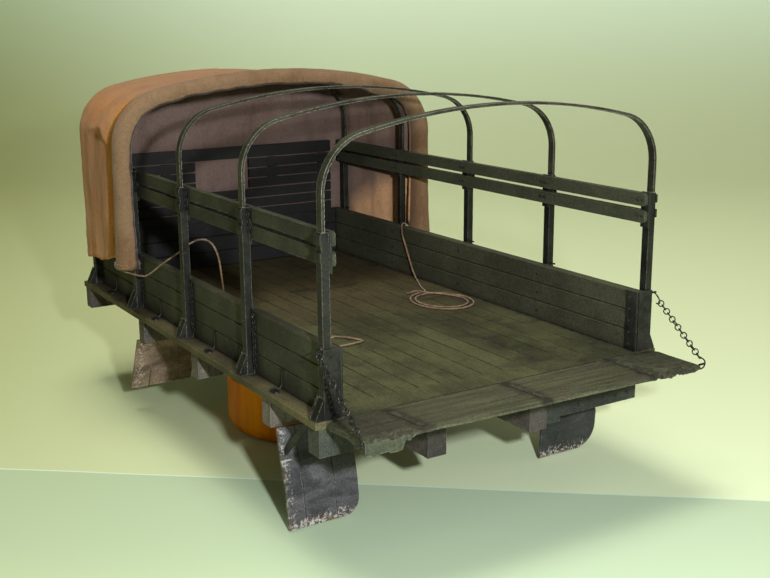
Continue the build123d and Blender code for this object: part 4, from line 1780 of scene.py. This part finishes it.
# ---------------------------------------------------------------- studio
@dataclass(frozen=True)
class Lamp:
    """One soft square lamp: side in metres, watts, where it hangs, where it points and its tint."""

    name: str
    size: float
    power: float
    place: tuple
    target: tuple
    colour: Colour = (1.0, 1.0, 1.0)

    def build(self) -> None:
        """Hangs the lamp."""
        data = bpy.data.lights.new(self.name, "AREA")
        data.shape, data.size, data.energy, data.color = "SQUARE", self.size, self.power, self.colour
        made = bpy.data.objects.new(self.name, data)
        aim = Vector(self.target) - Vector(self.place)
        made.matrix_world = Matrix.Translation(self.place) @ aim.to_track_quat("-Z", "Y").to_matrix().to_4x4()
        bpy.context.scene.collection.objects.link(made)


@dataclass
class Studio:
    """Floor, backdrop, lights and camera, in metres in the row frame."""

    lens: float = 51.83
    sensor: float = 36.0
    place: tuple = (-0.1459, -0.2495, 0.1098)
    yaw: float = math.radians(32.188)
    pitch: float = math.radians(13.835)
    roll: float = math.radians(-0.396)
    lamps: tuple = (Lamp("key", 0.011, 0.84, (-0.1055, -0.272, 0.131), (0.0, 0.02, 0.05), (0.96, 1.0, 1.06)),
                    Lamp("top", 0.3, 3.3, (-0.05, 0.08, 0.75), (0.0, 0.02, 0.0), (1.0, 0.97, 0.84)),
                    Lamp("fill", 0.5, 0.38, (0.55, -0.35, 0.45), (0.0, 0.0, 0.03)))
    sky: Colour = (1.0, 0.93, 0.52)
    sky_strength: float = 0.13
    card_width: float = 3.2
    card_length: float = 1.8
    card_near: float = -0.75
    bend: float = 0.45
    bend_radius: float = 0.35
    rise: float = 3.0

    def camera(self) -> None:
        """Stands the camera behind the left rear corner."""
        sides, level = math.cos(self.pitch), -math.sin(self.pitch)
        ahead = Vector((math.sin(self.yaw) * sides, math.cos(self.yaw) * sides, level))
        right = Vector((math.cos(self.yaw), -math.sin(self.yaw), 0.0))
        up = right.cross(ahead)
        across = right * math.cos(self.roll) + up * math.sin(self.roll)
        upright = up * math.cos(self.roll) - right * math.sin(self.roll)
        data = bpy.data.cameras.new("camera")
        data.lens, data.sensor_width, data.clip_start = self.lens, self.sensor, 0.01
        made = bpy.data.objects.new("camera", data)
        turn = Matrix((across, upright, -ahead)).transposed().to_4x4()
        made.matrix_world = Matrix.Translation(self.place) @ turn
        bpy.context.scene.collection.objects.link(made)
        bpy.context.scene.camera = made

    def paper(self) -> Material:
        """Pale green card of the floor and backdrop, and a second sheet in front, with painted light: darker
        and yellower to the left, lighter higher up and glowing for the camera towards the top.

        Returns:
            The material.
        """
        tree = Tree("paper")
        x, y, z = tree.x, tree.y, tree.z
        # painted light and shade: the card is darker and yellower to the left
        across = tree.mask(tree.plus(x, tree.times(y, -0.35)), -330.0, 160.0)
        colour = tree.mix(across, (0.34, 0.37, 0.11), (0.84, 0.95, 0.64))
        # painted light: the backdrop is lighter higher up
        backdrop = tree.mix(across, (0.55, 0.68, 0.42), (0.98, 1.0, 0.88))
        colour = tree.fade(colour, backdrop, z, 20.0, 260.0, 0.9)
        seam = tree.plus(y, tree.times(x, 0.81))
        seam = tree.plus(seam, tree.times(tree.noise(0.01, 2.0, 0.55), 3.0))
        near = tree.times(tree.below(seam, -49.0, -48.6), tree.mask(tree.plus(x, y), -190.0, -110.0))
        second = tree.mix(across, (0.46, 0.60, 0.40), (0.36, 0.50, 0.37))
        colour = tree.mix(tree.times(near, 0.6), colour, second)
        line = tree.times(tree.mask(seam, -49.2, -48.9), tree.below(seam, -48.5, -48.2))
        colour = tree.mix(tree.times(line, 0.85), colour, (0.74, 0.92, 0.76))
        fibre = tree.noise(0.8)
        colour = tree.fade(colour, (0.40, 0.46, 0.26), fibre, 0.5, 0.8, 0.08)
        # painted light: the card glows for the camera, more towards the top
        seen = tree.node("LightPath").outputs["Is Camera Ray"]
        return tree.finish(colour, ((fibre, 0.1, 0.05),), Roughness=0.85, Specular_IOR_Level=0.2,
                           Emission_Color=tree.mix(across, (0.42, 0.60, 0.38), (1.1, 1.7, 1.4)),
                           Emission_Strength=tree.times(seen, tree.mask(z, -20.0, 260.0, 0.30)))

    def floor(self) -> None:
        """A sheet of card that curves up into the backdrop, square to the camera."""
        bm = bmesh.new()
        bmesh.ops.create_grid(bm, x_segments=2, y_segments=60, size=1.0)
        for vert in bm.verts:
            vert.co.x *= self.card_width / 2
            y, z = self.card_near + (vert.co.y + 1.0) * self.card_length / 2, 0.0
            if y > self.bend:
                turn = min((y - self.bend) / self.bend_radius, math.pi / 2)
                upright = max(0.0, y - self.bend - self.bend_radius * math.pi / 2)
                z = self.bend_radius * (1 - math.cos(turn)) + upright * self.rise
                y = self.bend + self.bend_radius * math.sin(turn)
            vert.co.y, vert.co.z = y, z
        bm.transform(Matrix.Rotation(-self.yaw, 4, "Z"))
        mesh = bpy.data.meshes.new("floor_card")
        bm.to_mesh(mesh)
        bm.free()
        mesh.shade_smooth()
        mesh.materials.append(self.paper())
        made = bpy.data.objects.new("floor_card", mesh)
        bpy.context.scene.collection.objects.link(made)

    def build(self) -> None:
        """Sets up floor, lamps and world."""
        self.floor()
        for lamp in self.lamps:
            lamp.build()
        world = bpy.data.worlds.new("studio")
        world.use_nodes = True
        background = world.node_tree.nodes["Background"].inputs
        background["Color"].default_value = (*self.sky, 1.0)
        background["Strength"].default_value = self.sky_strength
        bpy.context.scene.world = world
        bpy.context.scene.view_settings.view_transform = "Standard"


def main() -> None:
    """Builds and dresses the whole part."""
    logging.basicConfig(level=logging.INFO, format="%(message)s")
    studio = Studio()
    studio.camera()
    coats = dress(frame["nodes"])
    for rope in ROPES:
        rope.build(coats["rope"])
    roll_tie(coats["rope"])
    CanvasCover([coats["canvas"], coats["cover_inside"]]).build()
    CanvasRoll([coats["canvas_roll"], coats["cover_inside"]]).build()
    FrontCurtain([coats["lining"]]).build()
    Gate(coats["gate"], coats["gate_core"], coats["fittings"], coats["straps"], coats["studs"]).build()
    GateChains(coats["steel"]).build()
    Hardware(coats["fittings"], coats["steel"], coats["sills"]).build()
    studio.build()
    bpy.context.view_layer.update()


if __name__ == "__main__":
    main()
